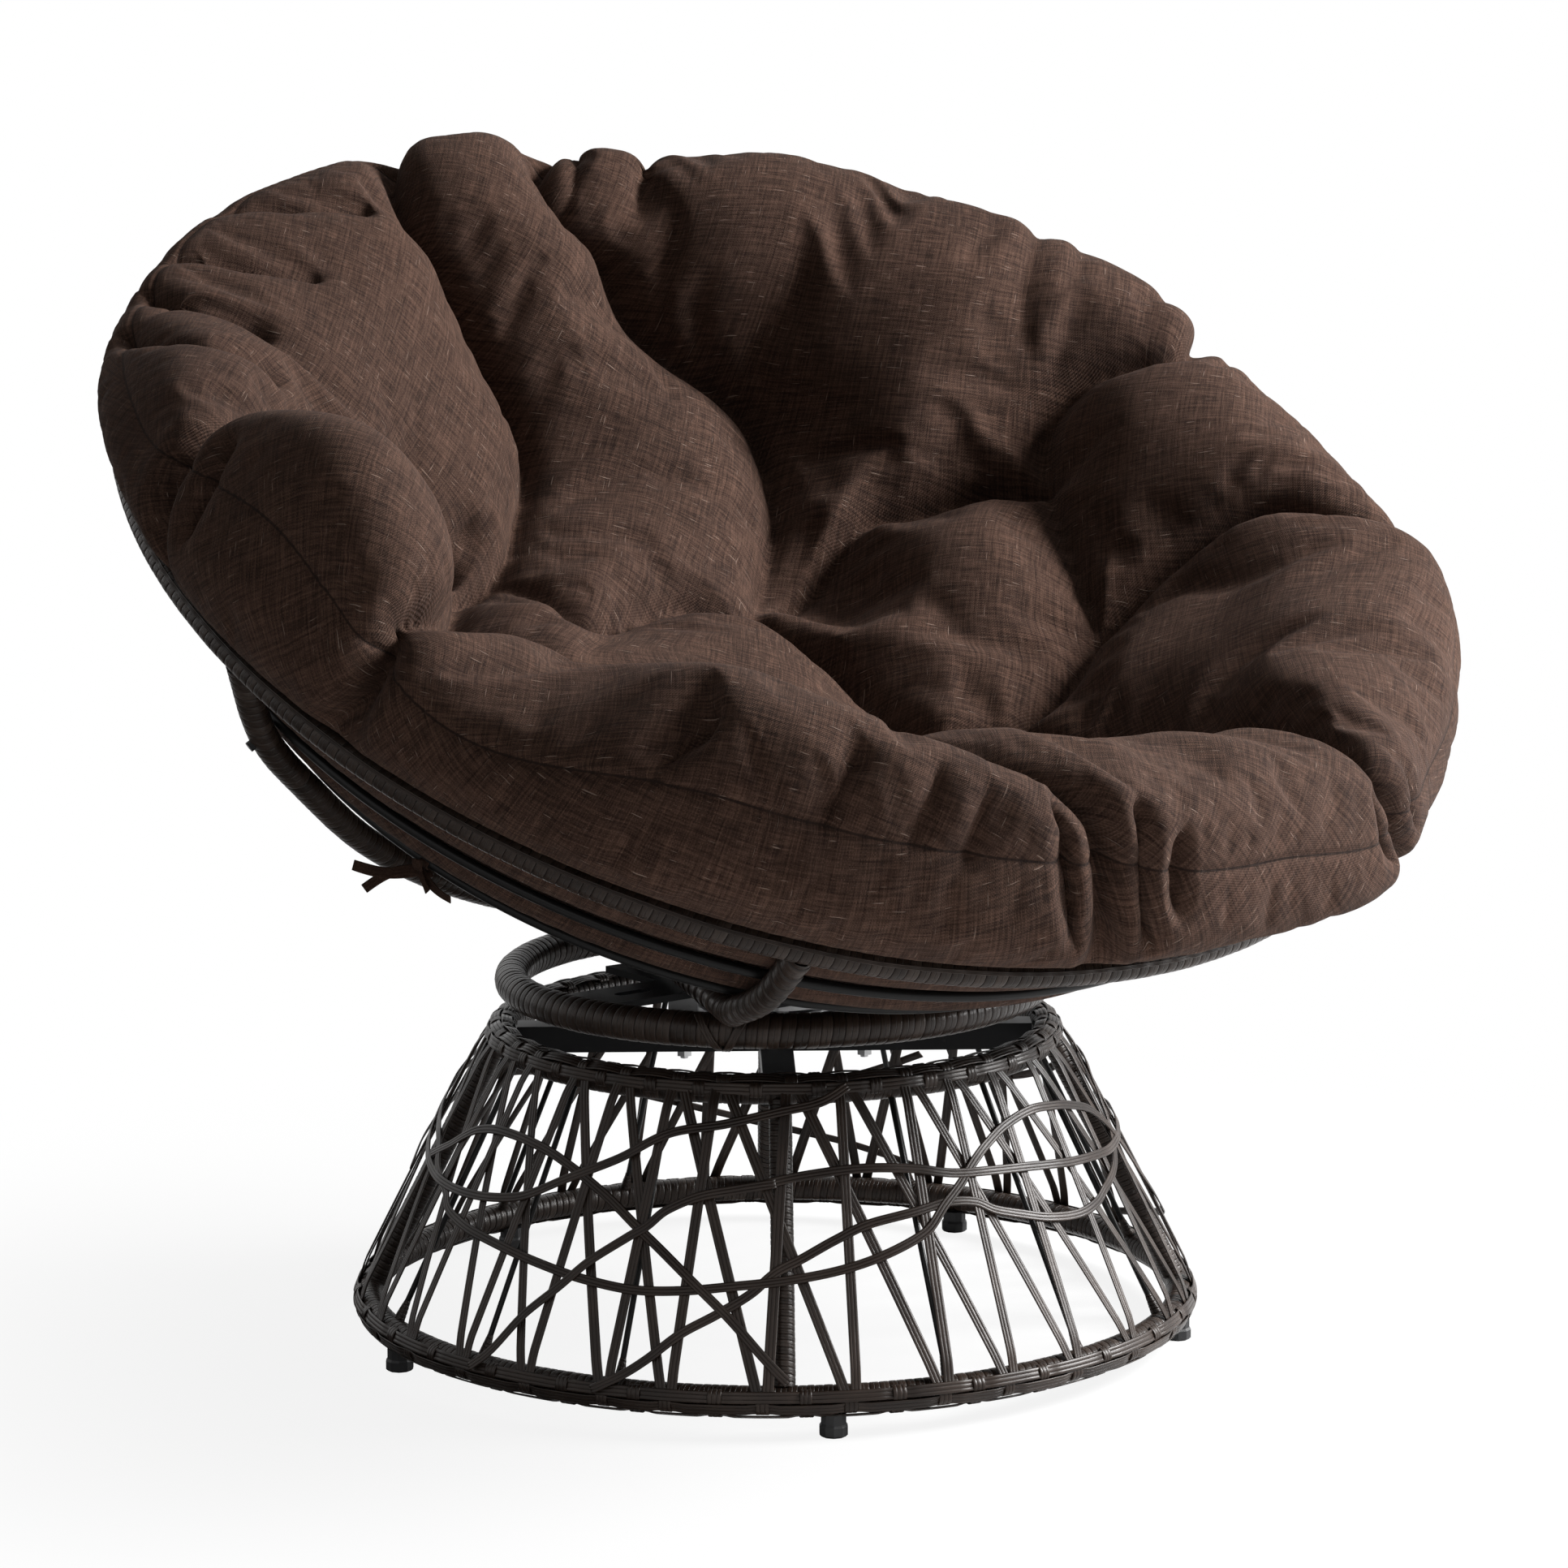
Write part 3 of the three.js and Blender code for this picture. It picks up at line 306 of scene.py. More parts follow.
# Two-tone plain weave with slubs. UV is the flat cloth in metres.
clothValues = dict(thread=0.0012, dark=(0.018, 0.0095, 0.0068), pale=(0.121, 0.0675, 0.0475),
                   slub=(0.25, 0.180, 0.145), seam=(0.012, 0.0075, 0.006), seamAt=0.70)


def clothLook(name, values=clothValues):
    look = Look(name)
    x, y = look.lay()
    pitch = values["thread"]
    wobble = (look.noise(look.vector(x * 22, y * 22), 1.0, 1.0) - 0.5) * 0.0012
    u, v = x + wobble, y + wobble * 0.8
    warp, weft = u / pitch, v / pitch
    over = ((warp.floor() + weft.floor()) / 2).frac().rise(0.2, 0.3)     # which thread is on top
    humpX = 1 - ((warp.frac() - 0.5) * 2).abs() ** 2.2
    humpY = 1 - ((weft.frac() - 0.5) * 2).abs() ** 2.2
    hump = humpX * over + humpY * (1 - over)
    toneX = look.noise(look.vector(warp.floor() * 0.73, v * 55), 1.0, 3.0, 0.7)
    toneY = look.noise(look.vector(u * 55, weft.floor() * 0.73, 5.0), 1.0, 3.0, 0.7)
    tone = toneX * over + toneY * (1 - over)
    lineX = look.noise(look.vector(u * 460, v * 22, 7.0), 1.0, 2.0, 0.6)
    lineY = look.noise(look.vector(u * 18, v * 420, 3.0), 1.0, 2.0, 0.6)
    slubX = look.noise(look.vector(u * 640, v * 42, 2.0), 1.0, 1.0, 0.5).rise(0.695, 0.765)
    slubY = look.noise(look.vector(u * 38, v * 640, 9.0), 1.0, 1.0, 0.5).rise(0.715, 0.785)
    slub = slubX.most(slubY * 0.8)
    haze = look.noise(look.place(), 4.0, 4.0, 0.6)
    light = tone * 0.9 + (lineX - 0.5) * 0.72 + (lineY - 0.5) * 0.66 + (haze - 0.5) * 0.3 - 0.12
    # painted shade: each thread is lighter on its crown and darker at its sides
    light = light * (hump * 0.35 + 0.7)
    colour = look.blend(light.rise(0.02, 0.82), values["dark"], values["pale"])
    colour = look.blend(slub * 0.74, colour, values["slub"])
    radius = (x * x + y * y) ** 0.5
    seam = 1 - (radius - values["seamAt"]).abs().rise(0.0004, 0.0016)
    colour = look.blend(seam * 0.8, colour, values["seam"])
    pulled = 1 - (radius - values["seamAt"]).abs().rise(0.0, 0.006)
    height = hump * 0.5 + slub * 0.5 + tone * 0.2 + lineX * 0.25 + lineY * 0.25 - pulled * 3.0
    fuzz = look.noise(look.place(), 180.0, 3.0, 0.6)
    return look.finish(colour, 0.88 + (fuzz - 0.5) * 0.1, look.bump(height, 0.0005, 0.8),
                       Specular_IOR_Level=0.07, Sheen_Weight=0.01, Sheen_Roughness=0.5)


wickerStrand = wickerLook("resin_strand")
wickerWrap = wickerLook("resin_wrap", grooves=1, roughness=0.34)
blackSteel = steelLook("black_powder_steel", (0.006, 0.006, 0.0065), (0.014, 0.014, 0.015), 0.36, 0.0)
blackRod = steelLook("black_rod", (0.005, 0.0048, 0.005), (0.011, 0.0105, 0.010), 0.34, 0.0, 500.0, 0.15)
zincSteel = steelLook("zinc_steel", (0.42, 0.43, 0.44), (0.62, 0.62, 0.62), 0.3, 1.0, 700.0, 0.2)
blackPlastic = plasticLook("black_plastic")
brownCloth = clothLook("brown_cloth")
print("finishes made")

for node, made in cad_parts.items():
    if node.startswith(("lower_bar", "lower_swivel", "upper_swivel", "spider", "cradle_screw")):
        finish = blackSteel
    elif node.startswith("glide"):
        finish = blackPlastic
    else:
        finish = zincSteel
    made.data.materials.clear()
    made.data.materials.append(finish)

# Rings: radius and height of the middle line; posts: angle of the first, in quarter turns from there
stand = dict(baseRadius=307.0, baseHeight=27.0, topRadius=205.0, topHeight=226.0, ringTube=10.0, firstPost=-36.0,
             postTube=8.3, postEnds=(0.035, 0.965))
# Rim: radius, height and setback of its middle; hoops: radius, and drop under the rim's plane
bowlValues = dict(rim=486.0, height=580.5, back=12.0, tilt=29.43, rimTube=9.5, rod=4.0,
                  upper=(430.5, 65.0), lower=(371.0, 125.0))
tilt = deg(bowlValues["tilt"])
upwards = np.array([0, 0, 1.0])


def onCircle(radius, angle, height):
    a = deg(angle)
    return np.stack(np.broadcast_arrays(radius * np.cos(a), radius * np.sin(a), height), -1)


# Bowl coordinates (angle, radius, drop under the rim's plane) to the chair's frame: the plane leans back
# about its left-to-right axis by the tilt
def inBowl(angle, radius, drop):
    p = onCircle(radius, angle, -np.asarray(drop, float))
    x, y, z = p[..., 0], p[..., 1], p[..., 2]
    return np.stack([x, y * np.cos(tilt) - z * np.sin(tilt) + bowlValues["back"],
                     y * np.sin(tilt) + z * np.cos(tilt) + bowlValues["height"]], -1)


bowlUp = np.array([0, -np.sin(tilt), np.cos(tilt)])
diagonal = 0.7071       # what a length at 45 degrees goes outwards, and what it goes down


def outsideHoop(hoop, angle, out):
    radius, drop = bowlValues[hoop]
    return inBowl(angle, radius + diagonal * out, drop + diagonal * out)


# Point on the rim's centre line, moved towards the upper hoop's outside by short
def underRim(angle, short):
    rim = inBowl(angle, bowlValues["rim"], 0)
    target = outsideHoop("upper", angle, bowlValues["rod"])
    return rim + short * unit(target - rim)


# Rise of the stand's wall from ring to ring, how far it leans in on the way, and its length
wallRise, wallRun = stand["topHeight"] - stand["baseHeight"], stand["baseRadius"] - stand["topRadius"]
slant = np.hypot(wallRise, wallRun)


# Point near the stand's wall: a height on the cone through both ring centres, and a distance off it
def onWall(angle, height, off):
    radius = stand["baseRadius"] - wallRun * (height - stand["baseHeight"]) / wallRise
    return onCircle(radius + off * wallRise / slant, angle, height + off * wallRun / slant)


# Strand wound closely round a tube: the surface point at turn count w and angle a round the path lies where the
# path has run (w - a) turns, out along the turned normal by the tube's radius plus a flat crown that is notched
# where one turn meets the next. Each row of the grid follows the helix, so every notch is one clean line.
# The turns stray along the tube by a share of the pitch, and each has a height of its own, a share of the relief.
woundProfile = dict(step=[0.0, 0.07, 0.2, 0.42, 0.62, 0.84, 0.95], lift=[-1, -0.25, 0, 0.04, 0.04, 0, -0.2],
                    stray=0.3, own=0.5)


def woundTube(shell, path, away, radius, pitch, closed=False, sides=20, relief=0.55, seed=1.0, extra=None):
    loop = np.vstack([path, path[:1]]) if closed else path
    along = lengthAlong(loop)
    full = along[-1]
    turns = int(round(full / pitch))
    step, lift = np.array(woundProfile["step"]), np.array(woundProfile["lift"])
    count = len(step)
    rows = turns * count + (0 if closed else count + 1)
    i = np.arange(rows)
    turn, w = i // count, (i // count + step[i % count])[:, None]
    angle = (np.arange(sides) / sides)[None, :]
    passed = w - angle
    beat = 2 * np.pi * max(1, round(turns / 25)) / turns
    s = (passed + woundProfile["stray"] * wander(passed * beat, seed)) * full / turns
    s = s % full if closed else np.clip(s, 0, full)
    t, n, b = pathFrames(path, away, closed)
    if closed:
        n, b = np.vstack([n, n[:1]]), np.vstack([b, b[:1]])
    centre, side, third = placeAt(loop, s, along), placeAt(n, s, along), placeAt(b, s, along)
    a = 2 * np.pi * angle[..., None]
    own = scatter(turn % turns, seed)[:, None] * (1 - angle) + scatter((turn - 1) % turns, seed)[:, None] * angle
    r = radius + relief * (lift[i % count][:, None] + woundProfile["own"] * (own - 0.5))
    if extra is not None:
        r = r + extra(passed, angle + 0 * passed, s, turns)
    p = centre + r[..., None] * (np.cos(a) * side + np.sin(a) * third)
    meets = (i - count) % rows if closed else np.maximum(i - count, 0)
    w = w if not closed else np.vstack([w, [[turns]]])
    round1 = np.append(angle, 1.0)[None, :]
    uv = np.stack([w + 1e-4 + 0 * round1, (round1 - np.floor(w + 1e-4)) * 2 * np.pi * radius / 1000], -1)
    if not closed:
        p = np.concatenate([np.repeat(path[:1], sides, 0)[None], p, np.repeat(path[-1:], sides, 0)[None]])
        uv = np.concatenate([uv[:1], uv, uv[-1:]])
        meets = np.concatenate([[0], meets + 1, [rows + 1]])
    shell.grid(p, uv, roundRows=closed, roundColumns=True, meets=meets)


def addWound(name, body, replaces, path, away, radius, pitch, **winding):
    shell = Shell()
    woundTube(shell, path, away, radius, pitch, **winding)
    addPiece(name, shell, body, wickerWrap, replaces)


def circlePath(radius, height, count=360):
    return onCircle(radius, np.arange(count) * 360 / count, height)


# Grid of two texture coordinates from numbers that run along rows and columns
def layGrid(u, v):
    return np.stack(np.broadcast_arrays(u, v), -1)


# Length of tube that one turn of the winding takes
rings = dict(basePitch=6.6, topPitch=6.6, swivelPitch=8.6, rimPitch=8.3, postPitch=4.6, railPitch=17.5,
             cradlePitch=8.2, spinePitch=8.0)


# Section of a flat strand with two lengthwise grooves: shares of the width across, and of the thickness outwards
firstGroove, secondGroove, grooveHalf = 0.333, 0.667, 0.055
strandSection = (
    np.array([0.03, 0.10, firstGroove - grooveHalf, firstGroove, firstGroove + grooveHalf,
              secondGroove - grooveHalf, secondGroove, secondGroove + grooveHalf, 0.90, 0.97, 0.90, 0.5, 0.10]),
    np.array([0.12, 0.5, 0.5, 0.30, 0.5, 0.5, 0.30, 0.5, 0.5, 0.12, -0.5, -0.5, -0.5]))


# Flat strand: its section carried along centre points, its face looking along out
def ribbon(shell, centre, out, width, thick, strand, closed=False):
    centre, out = np.asarray(centre, float), np.asarray(out, float)
    t = unit(np.roll(centre, -1, 0) - np.roll(centre, 1, 0)) if closed else unit(np.gradient(centre, axis=0))
    out = unit(out - (out * t).sum(-1, keepdims=True) * t)
    side = np.cross(t, out)
    v, h = strandSection
    offset = (v[None, :, None] - 0.5) * width
    p = centre[:, None] + side[:, None] * offset + out[:, None] * (h[None, :, None] * thick)
    y = lengthAlong(centre) / 1000 + 1.7 * strand
    if closed:
        y = np.append(y, y[-1] + np.linalg.norm(centre[0] - centre[-1]) / 1000)
    vv = np.append(v, v[0])
    shell.grid(p, layGrid(strand + vv[None, :], y[:, None]), roundRows=closed, roundColumns=True, caps=not closed)


# Feet of the lacing pairs round the stand, counter-clockwise; measured where the front shows them
laceValues = dict(
    feet=[-206.5, -195.0, -184.3, -172.6, -161.4, -149.7, -141.2, -128.8, -117.5, -105.0, -95.4, -84.3,
          -72.1, -59.6, -50.6, -39.6, -28.2, -16.4, -5.6, 6.2, 17.1, 28.8, 39.9, 51.2, 62.7, 73.6, 85.4,
          96.2, 107.9, 118.6, 130.4, 141.6],
    lean=4.2, width=8.3, thick=1.3, innerOff=11.9, outerOff=13.7, innerSunk=10.5, outerSunk=11.3,
    footApart=0.66, topApart=0.95, back=2)


# Point round one of the stand's ring tubes: angle about the axis, angle psi round the tube (0 outwards,
# 90 up), distance rho from the tube's middle
def roundRing(which, angle, psi, rho):
    return onCircle(stand[which + "Radius"] + rho * np.cos(deg(psi)), angle,
                    stand[which + "Height"] + rho * np.sin(deg(psi)))


def outwards(angle, psi):
    return onCircle(np.cos(deg(psi)), angle, np.sin(deg(psi)))


wallPsi = float(np.degrees(np.arctan2(wallRun, wallRise)))


# One lacing strand: crosses the wall in a straight line, and at both ends sinks to the ring's winding and follows
# it round under the first row of the band
def laceStrand(shell, foot, top, off, sunk, strand):
    values = laceValues
    share = np.concatenate([[0, 0.02, 0.04, 0.06, 0.085], np.linspace(0.12, 0.88, 13), [0.915, 0.94, 0.96, 0.98, 1]])
    a = onWall(foot, stand["baseHeight"], off)
    b = onWall(top, stand["topHeight"], off)
    line = a + (b - a) * share[:, None]
    turned = np.degrees(np.unwrap(np.arctan2(line[:, 1], line[:, 0])))
    turned += foot - turned[0]
    proud = smooth(0, 0.09, share) * smooth(1, 0.91, share)
    place = off + (sunk - off) * (1 - proud) + 0.6 * np.sin(np.pi * share)
    wall = onWall(turned, stand["baseHeight"] + wallRise * share, place)
    psiLow, psiHigh = np.linspace(2, wallPsi, 5)[:-1], np.linspace(wallPsi, 50, 5)[1:]
    low, high = (roundRing(ring, angle + 0 * psi, psi, sunk + 0 * psi)
                 for ring, angle, psi in (("base", foot, psiLow), ("top", turned[-1], psiHigh)))
    out = np.vstack([outwards(foot + 0 * psiLow, psiLow), outwards(turned, wallPsi + 0 * turned),
                     outwards(turned[-1] + 0 * psiHigh, psiHigh)])
    ribbon(shell, np.vstack([low, wall, high]), out, values["width"] * (0.94 + 0.12 * scatter(strand, 3)),
           values["thick"], strand)


def makeLacing():
    values = laceValues
    feet = np.array(values["feet"])
    count = len(feet)
    tops = feet + values["lean"] + 1.1 * wander(np.arange(count) * 1.7, 2)
    inner, outer = Shell(), Shell()
    for i in range(count):
        laceStrand(outer, feet[i] + values["footApart"], tops[i] - values["topApart"], values["outerOff"],
                   values["outerSunk"], i)
        back = (i - values["back"]) % count
        turn = 360.0 if i < values["back"] else 0.0
        laceStrand(inner, feet[i] - values["footApart"], tops[back] - turn + values["topApart"], values["innerOff"],
                   values["innerSunk"], 50 + i)
    addPiece("lacing_upright", outer, "base", wickerStrand, ["lacing_over"])
    addPiece("lacing_leaning", inner, "base", wickerStrand, ["lacing_under"])
    return feet, tops


# Rows that run round the rings, over the ends of the lacing and under short stakes: which ring, the middle of the
# row round the tube, and whether its stakes stand at the lacing or halfway between
bandValues = dict(width=9.2, thick=1.25, sunk=10.95, proud=12.15, puff=0.5, stakeWidth=10.5, stakeThick=1.2,
                  stakeReach=31, stakeProud=1.5, base=1.5, top=2.1)
bandRows = [("base", 21.0, False), ("base", -23.0, True), ("base", -67.0, False),
            ("top", 18.0, False), ("top", 62.0, True), ("top", 106.0, False)]


def makeBands(feet, tops):
    values = bandValues
    shell = Shell()
    angle = np.arange(720) * 0.5
    for row, (ring, psi, atStrand) in enumerate(bandRows):
        own = feet if ring == "base" else tops
        follow = np.roll(own, -1) + np.where(np.arange(len(own)) == len(own) - 1, 360, 0)
        stakes = own if atStrand else (own + follow) / 2
        half = values[ring]     # half the angle that a stake takes up
        gap = np.abs((angle[:, None] - stakes[None, :] + 180) % 360 - 180).min(1)
        rise = smooth(half * 0.6, half * 1.7, gap)
        puffed = values["puff"] * (ring == "top") * smooth(half * 1.5, half * 3, gap)
        rho = values["sunk"] + (values["proud"] - values["sunk"]) * rise + puffed + 0.12 * wander(deg(angle) * 6, row)
        wave = psi + 1.0 * wander(deg(angle) * 4, 3 + row)
        ribbon(shell, roundRing(ring, angle, wave, rho), outwards(angle, wave), values["width"], values["thick"],
               120 + row, closed=True)
        for k, stake in enumerate(stakes):
            turn = np.linspace(psi + values["stakeReach"], psi - values["stakeReach"], 11)
            proud = values["sunk"] - 0.1 + values["stakeProud"] * np.cos(deg((turn - psi) * 2.9)).clip(0)
            across = stake + 0.5 * (scatter(k, row) - 0.5) + 0 * turn
            ribbon(shell, roundRing(ring, across, turn, proud), outwards(across, turn),
                   values["stakeWidth"] * (0.85 + 0.3 * scatter(k, row)), values["stakeThick"], 130 + 40 * row + k)
    addPiece("bands", shell, "base", wickerStrand)


# Long strands that wander round the wall, as angle and height. They lie at the lap off the wall, each a little
# farther out than the one before
wandererValues = dict(width=7.4, thick=1.25, lap=15.6, spread=1.25, wave=0.5)
wanderers = [
    [(-151, 24), (-147, 36), (-144.3, 46), (-139.7, 65), (-135, 78), (-130.6, 91), (-127, 105), (-123.4, 113),
     (-118, 125), (-112.5, 134), (-105.2, 139), (-98.8, 143), (-94.3, 141), (-90.6, 133), (-86, 127), (-79.7, 120),
     (-72.5, 117), (-67, 120), (-63.4, 125), (-57, 132), (-52, 142), (-47, 158), (-44, 176), (-40, 190), (-30, 196),
     (-18, 184), (-6, 160), (8, 140), (24, 128)],
    [(-232, 190), (-222, 176), (-212, 160), (-205, 153), (-201.5, 147), (-197, 135), (-190.6, 125), (-187, 115),
     (-180.6, 109), (-173.4, 105), (-164.3, 99), (-155.2, 93), (-147, 90), (-139.7, 92), (-132.5, 96), (-127.5, 98.5),
     (-123.4, 101), (-118, 105), (-112.5, 111), (-106, 121), (-103.2, 127), (-99.7, 141), (-96, 153), (-92, 167),
     (-88, 177), (-82.5, 186), (-75.2, 190.6), (-68.8, 188.6), (-61.5, 183), (-55.2, 175), (-50.6, 163), (-46, 140),
     (-42, 112), (-36, 84), (-26, 62), (-14, 46), (-4, 33)],
    [(-204, 138), (-197.5, 151), (-192.4, 163), (-188, 171), (-182.5, 175), (-176, 175), (-168.8, 171), (-162.5, 163),
     (-155.2, 149), (-148.8, 131), (-144.3, 117), (-138.8, 97), (-133.4, 75), (-128.4, 49), (-125.5, 34)],
    [(-113.4, 224), (-119, 214), (-127, 208), (-136, 200), (-145, 193), (-154, 173), (-163, 155),
     (-172, 137), (-183, 130), (-195, 130), (-205, 137), (-214, 150), (-224, 168), (-236, 180), (-250, 176),
     (-264, 158), (-278, 130), (-292, 112), (-306, 108), (-320, 122), (-334, 148)],
    [(-130, 160), (-125, 165), (-120, 168), (-113, 170), (-104, 167), (-97, 161), (-88, 158), (-80, 155), (-70, 150),
     (-62, 147), (-55.6, 145), (-46, 146), (-34, 152), (-20, 150)],
    [(-170, 24), (-167.5, 36), (-163.4, 65), (-158.8, 87), (-155, 105), (-149.7, 123), (-147, 131), (-144, 143),
     (-138.8, 153), (-133, 158), (-127, 162)],
    [(28, 34), (40, 56), (56, 78), (72, 104), (88, 132), (104, 150), (120, 152), (134, 140), (148, 120)],
]


def makeWanderers():
    shell, values = Shell(), wandererValues
    for k, points in enumerate(wanderers):
        path = curveThrough(np.array([(a, h, 0.0) for a, h in points]), 9)
        angle, height = path[:, 0], path[:, 1]
        lap = values["lap"] + values["spread"] * k / len(wanderers) + values["wave"] * wander(angle / 7, k)
        centre = onWall(angle, height, lap)
        out = outwards(angle, wallPsi + 3 * wander(angle / 15, k + 2))
        ribbon(shell, centre, out, values["width"], values["thick"], 220 + k)
    addPiece("wanderers", shell, "base", wickerStrand, [f"weaver_{k}" for k in range(1, 5)])


def makeStand():
    for ring, count, seed in (("base", 360, 2), ("top", 300, 3)):
        addWound(ring + "_ring_wrap", "base", [ring + "_ring"],
                 circlePath(stand[ring + "Radius"], stand[ring + "Height"], count), upwards, stand["ringTube"],
                 rings[ring + "Pitch"], closed=True, sides=16, seed=seed)
    shell = Shell()
    share = np.linspace(*stand["postEnds"], 40)
    for k in range(4):
        angle = stand["firstPost"] + 90 * k
        path = onWall(angle + 0 * share, stand["baseHeight"] + wallRise * share, 0.0)
        woundTube(shell, path, onCircle(1.0, angle, 0.0), stand["postTube"], rings["postPitch"], sides=16,
                  relief=0.35, seed=4 + k)
    addPiece("post_wrap", shell, "base", wickerWrap, [f"post_{k}" for k in range(1, 5)])


# Bare rods between the posts: a plain tube from ring to ring, and a strand wound to a small cone at the foot
rodValues = dict(radius=2.2, sides=12, between=22.5, low=9.0, high=214.5, round=0.5, footRadius=4.4, footPitch=3.0,
                 footTaper=1.9, coneHigh=15.0)


def makeRods():
    values = rodValues
    shell, cones = Shell(), Shell()
    turn = np.arange(values["sides"]) / values["sides"] * 2 * np.pi
    for i in range(16):
        if i % 4 == 0:
            continue
        angle = stand["firstPost"] + values["between"] * i
        low, high, edge = values["low"], values["high"], values["round"]
        along = np.array([low, low + edge, high - edge, high])
        centre = onWall(angle + 0 * along, stand["baseHeight"] + along * wallRise / slant, 0.0)
        radius = values["radius"] * np.array([0.9, 1, 1, 0.9])
        side, third = onCircle(1.0, angle + 90, 0.0), outwards(angle, wallPsi)
        round1 = np.cos(turn)[None, :, None] * side + np.sin(turn)[None, :, None] * third
        p = centre[:, None] + radius[:, None, None] * round1
        shell.grid(p, layGrid(along[:, None] / 1000, np.arange(values["sides"] + 1)[None] / values["sides"]),
                   roundColumns=True, caps=True, flip=True)
        line = np.linspace(low - 1, low + values["coneHigh"], 24)
        path = onWall(angle + 0 * line, stand["baseHeight"] + line * wallRise / slant, 0.0)
        woundTube(cones, path, side, values["footRadius"], values["footPitch"], sides=12, relief=0.3, seed=30 + i,
                  extra=lambda passed, share, s, turns: -values["footTaper"] * s / values["coneHigh"])
    addPiece("wall_rods", shell, "base", blackRod)
    addPiece("rod_feet", cones, "base", wickerWrap)


makeStand()
makeRods()
feet, tops = makeLacing()
makeBands(feet, tops)
makeWanderers()
print("stand made")

# Wound radius of each tube. The cradle goes under the middle of the bowl at cradleHeight
seatFrame = dict(ringRadius=197.5, ringTube=12.9, ringHeight=268.0, cradleTube=10.5, spineTube=9.1,
                 cradleHeight=310.1, cradleAt=186, cradleOff=14.8, cradleShort=5.7)
# Rails cross the swivel ring at one angle and meet the rim at another; off: from a hoop's middle to the tube's
railValues = dict(tube=10.5, height=290.3, over=221, rim=240, hold=38, tail=-12.3, off=13.3, short=3.8, saw=1.2)
lashValues = dict(across=222.5, apart=5.2, start=64, end=-96, off=14.3, width=6.4, thick=1.1)
cradleDrop = (bowlValues["height"] - seatFrame["cradleHeight"]) / np.cos(tilt)


# A tube's way up past both hoops to the rim
def upPast(angle, off, short):
    return [outsideHoop("lower", angle, off), outsideHoop("upper", angle, off), underRim(angle, short)]


def railPath(side):
    values = railValues
    over = onCircle(seatFrame["ringRadius"], values["over"], values["height"])
    up = upPast(values["rim"], values["off"], values["short"])
    away = unit(np.array([up[-1][0], up[-1][1], values["height"]]) - over)
    tail = over + away * ((values["tail"] - over[0]) / away[0])
    points = np.array([tail, (tail + over) / 2, over, over + values["hold"] * away] + up)
    return curveThrough(points, 30) * np.array([side, 1, 1])


def cradlePath():
    angle = seatFrame["cradleAt"]
    half = upPast(angle, seatFrame["cradleOff"], seatFrame["cradleShort"])[::-1]
    half += [inBowl(angle, r, share * cradleDrop) for r, share in ((307.9, 0.64), (215.2, 0.82), (111.3, 0.955))]
    half = np.array(half)
    other = half[::-1] * np.array([-1, 1, 1])
    return curveThrough(np.vstack([half, inBowl(angle, 0, cradleDrop)[None], other]), 26)


def spinePath():
    foot = np.array([0, seatFrame["ringRadius"], seatFrame["ringHeight"]])
    up = upPast(90, railValues["off"], railValues["short"])
    points = np.array([foot, foot + [0, 30, 10.5], up[0] + (foot - up[0]) * 0.62 + [0, 14, 0],
                       up[0] + (foot - up[0]) * 0.3 + [0, 12, 0]] + up)
    return curveThrough(points, 26)


# Two strands that meet in a V under the swivel ring and hold a rail on it
def lashing(shell, side):
    values = lashValues
    for k, spread in enumerate((-values["apart"], values["apart"])):
        turn = np.linspace(values["start"], values["end"], 26)
        share = (turn[0] - turn) / (turn[0] - turn[-1])
        angle = values["across"] + spread * (1 - share) ** 1.2
        off = values["off"] + 0.5 * k
        place = onCircle(seatFrame["ringRadius"] + off * np.cos(deg(turn)), angle,
                         seatFrame["ringHeight"] + off * np.sin(deg(turn)))
        flip = np.array([side, 1, 1])
        ribbon(shell, place * flip, outwards(angle, turn) * flip, values["width"], values["thick"],
               400 + 2 * k + side)


# A strand laid along the rim that dips under the winding and shows as so many dashes
rimDash = dict(count=184, radius=bowlValues["rim"], out=10.3, psi=38.0, dip=0.9, width=3.4, thick=0.9)


def rimDashes(shell):
    values = rimDash
    count = values["count"]
    angle = np.arange(count * 8) * 360 / (count * 8)
    beat = np.cos(deg(angle * count))
    rho = values["out"] + values["dip"] * (smooth(-0.5, 0.5, beat) - 0.75)
    psi = values["psi"] + 3 * wander(deg(angle) * 5, 4)
    centre = inBowl(angle, values["radius"] + rho * np.cos(deg(psi)), -rho * np.sin(deg(psi)))
    facing = centre - inBowl(angle, values["radius"], 0.0)
    ribbon(shell, centre, facing, values["width"], values["thick"], 430, closed=True)


def makeSeatFrame():
    values = seatFrame
    addWound("swivel_ring_wrap", "seat", ["swivel_ring"], circlePath(values["ringRadius"], values["ringHeight"]),
             upwards, values["ringTube"], rings["swivelPitch"], closed=True, sides=24, relief=0.7, seed=9)
    for side, name in ((1, "rail_left"), (-1, "rail_right")):
        shell = Shell()
        woundTube(shell, railPath(side), np.array([0.3 * side, 0, 1.0]), railValues["tube"], rings["railPitch"],
                  sides=20, relief=0.6, seed=11 + side,
                  extra=lambda passed, share, s, turns: railValues["saw"] * (np.modf(passed + share + 8)[0] - 0.5))
        lashing(shell, side)
        addPiece(name + "_wrap", shell, "seat", wickerWrap, [name])
    for name, path, away, seed in (("cradle", cradlePath(), [0, 1.0, 0.2], 15),
                                   ("spine", spinePath(), [1.0, 0, 0], 17)):
        addWound(name + "_wrap", "seat", [name], path, np.array(away), values[name + "Tube"], rings[name + "Pitch"],
                 sides=18, seed=seed)


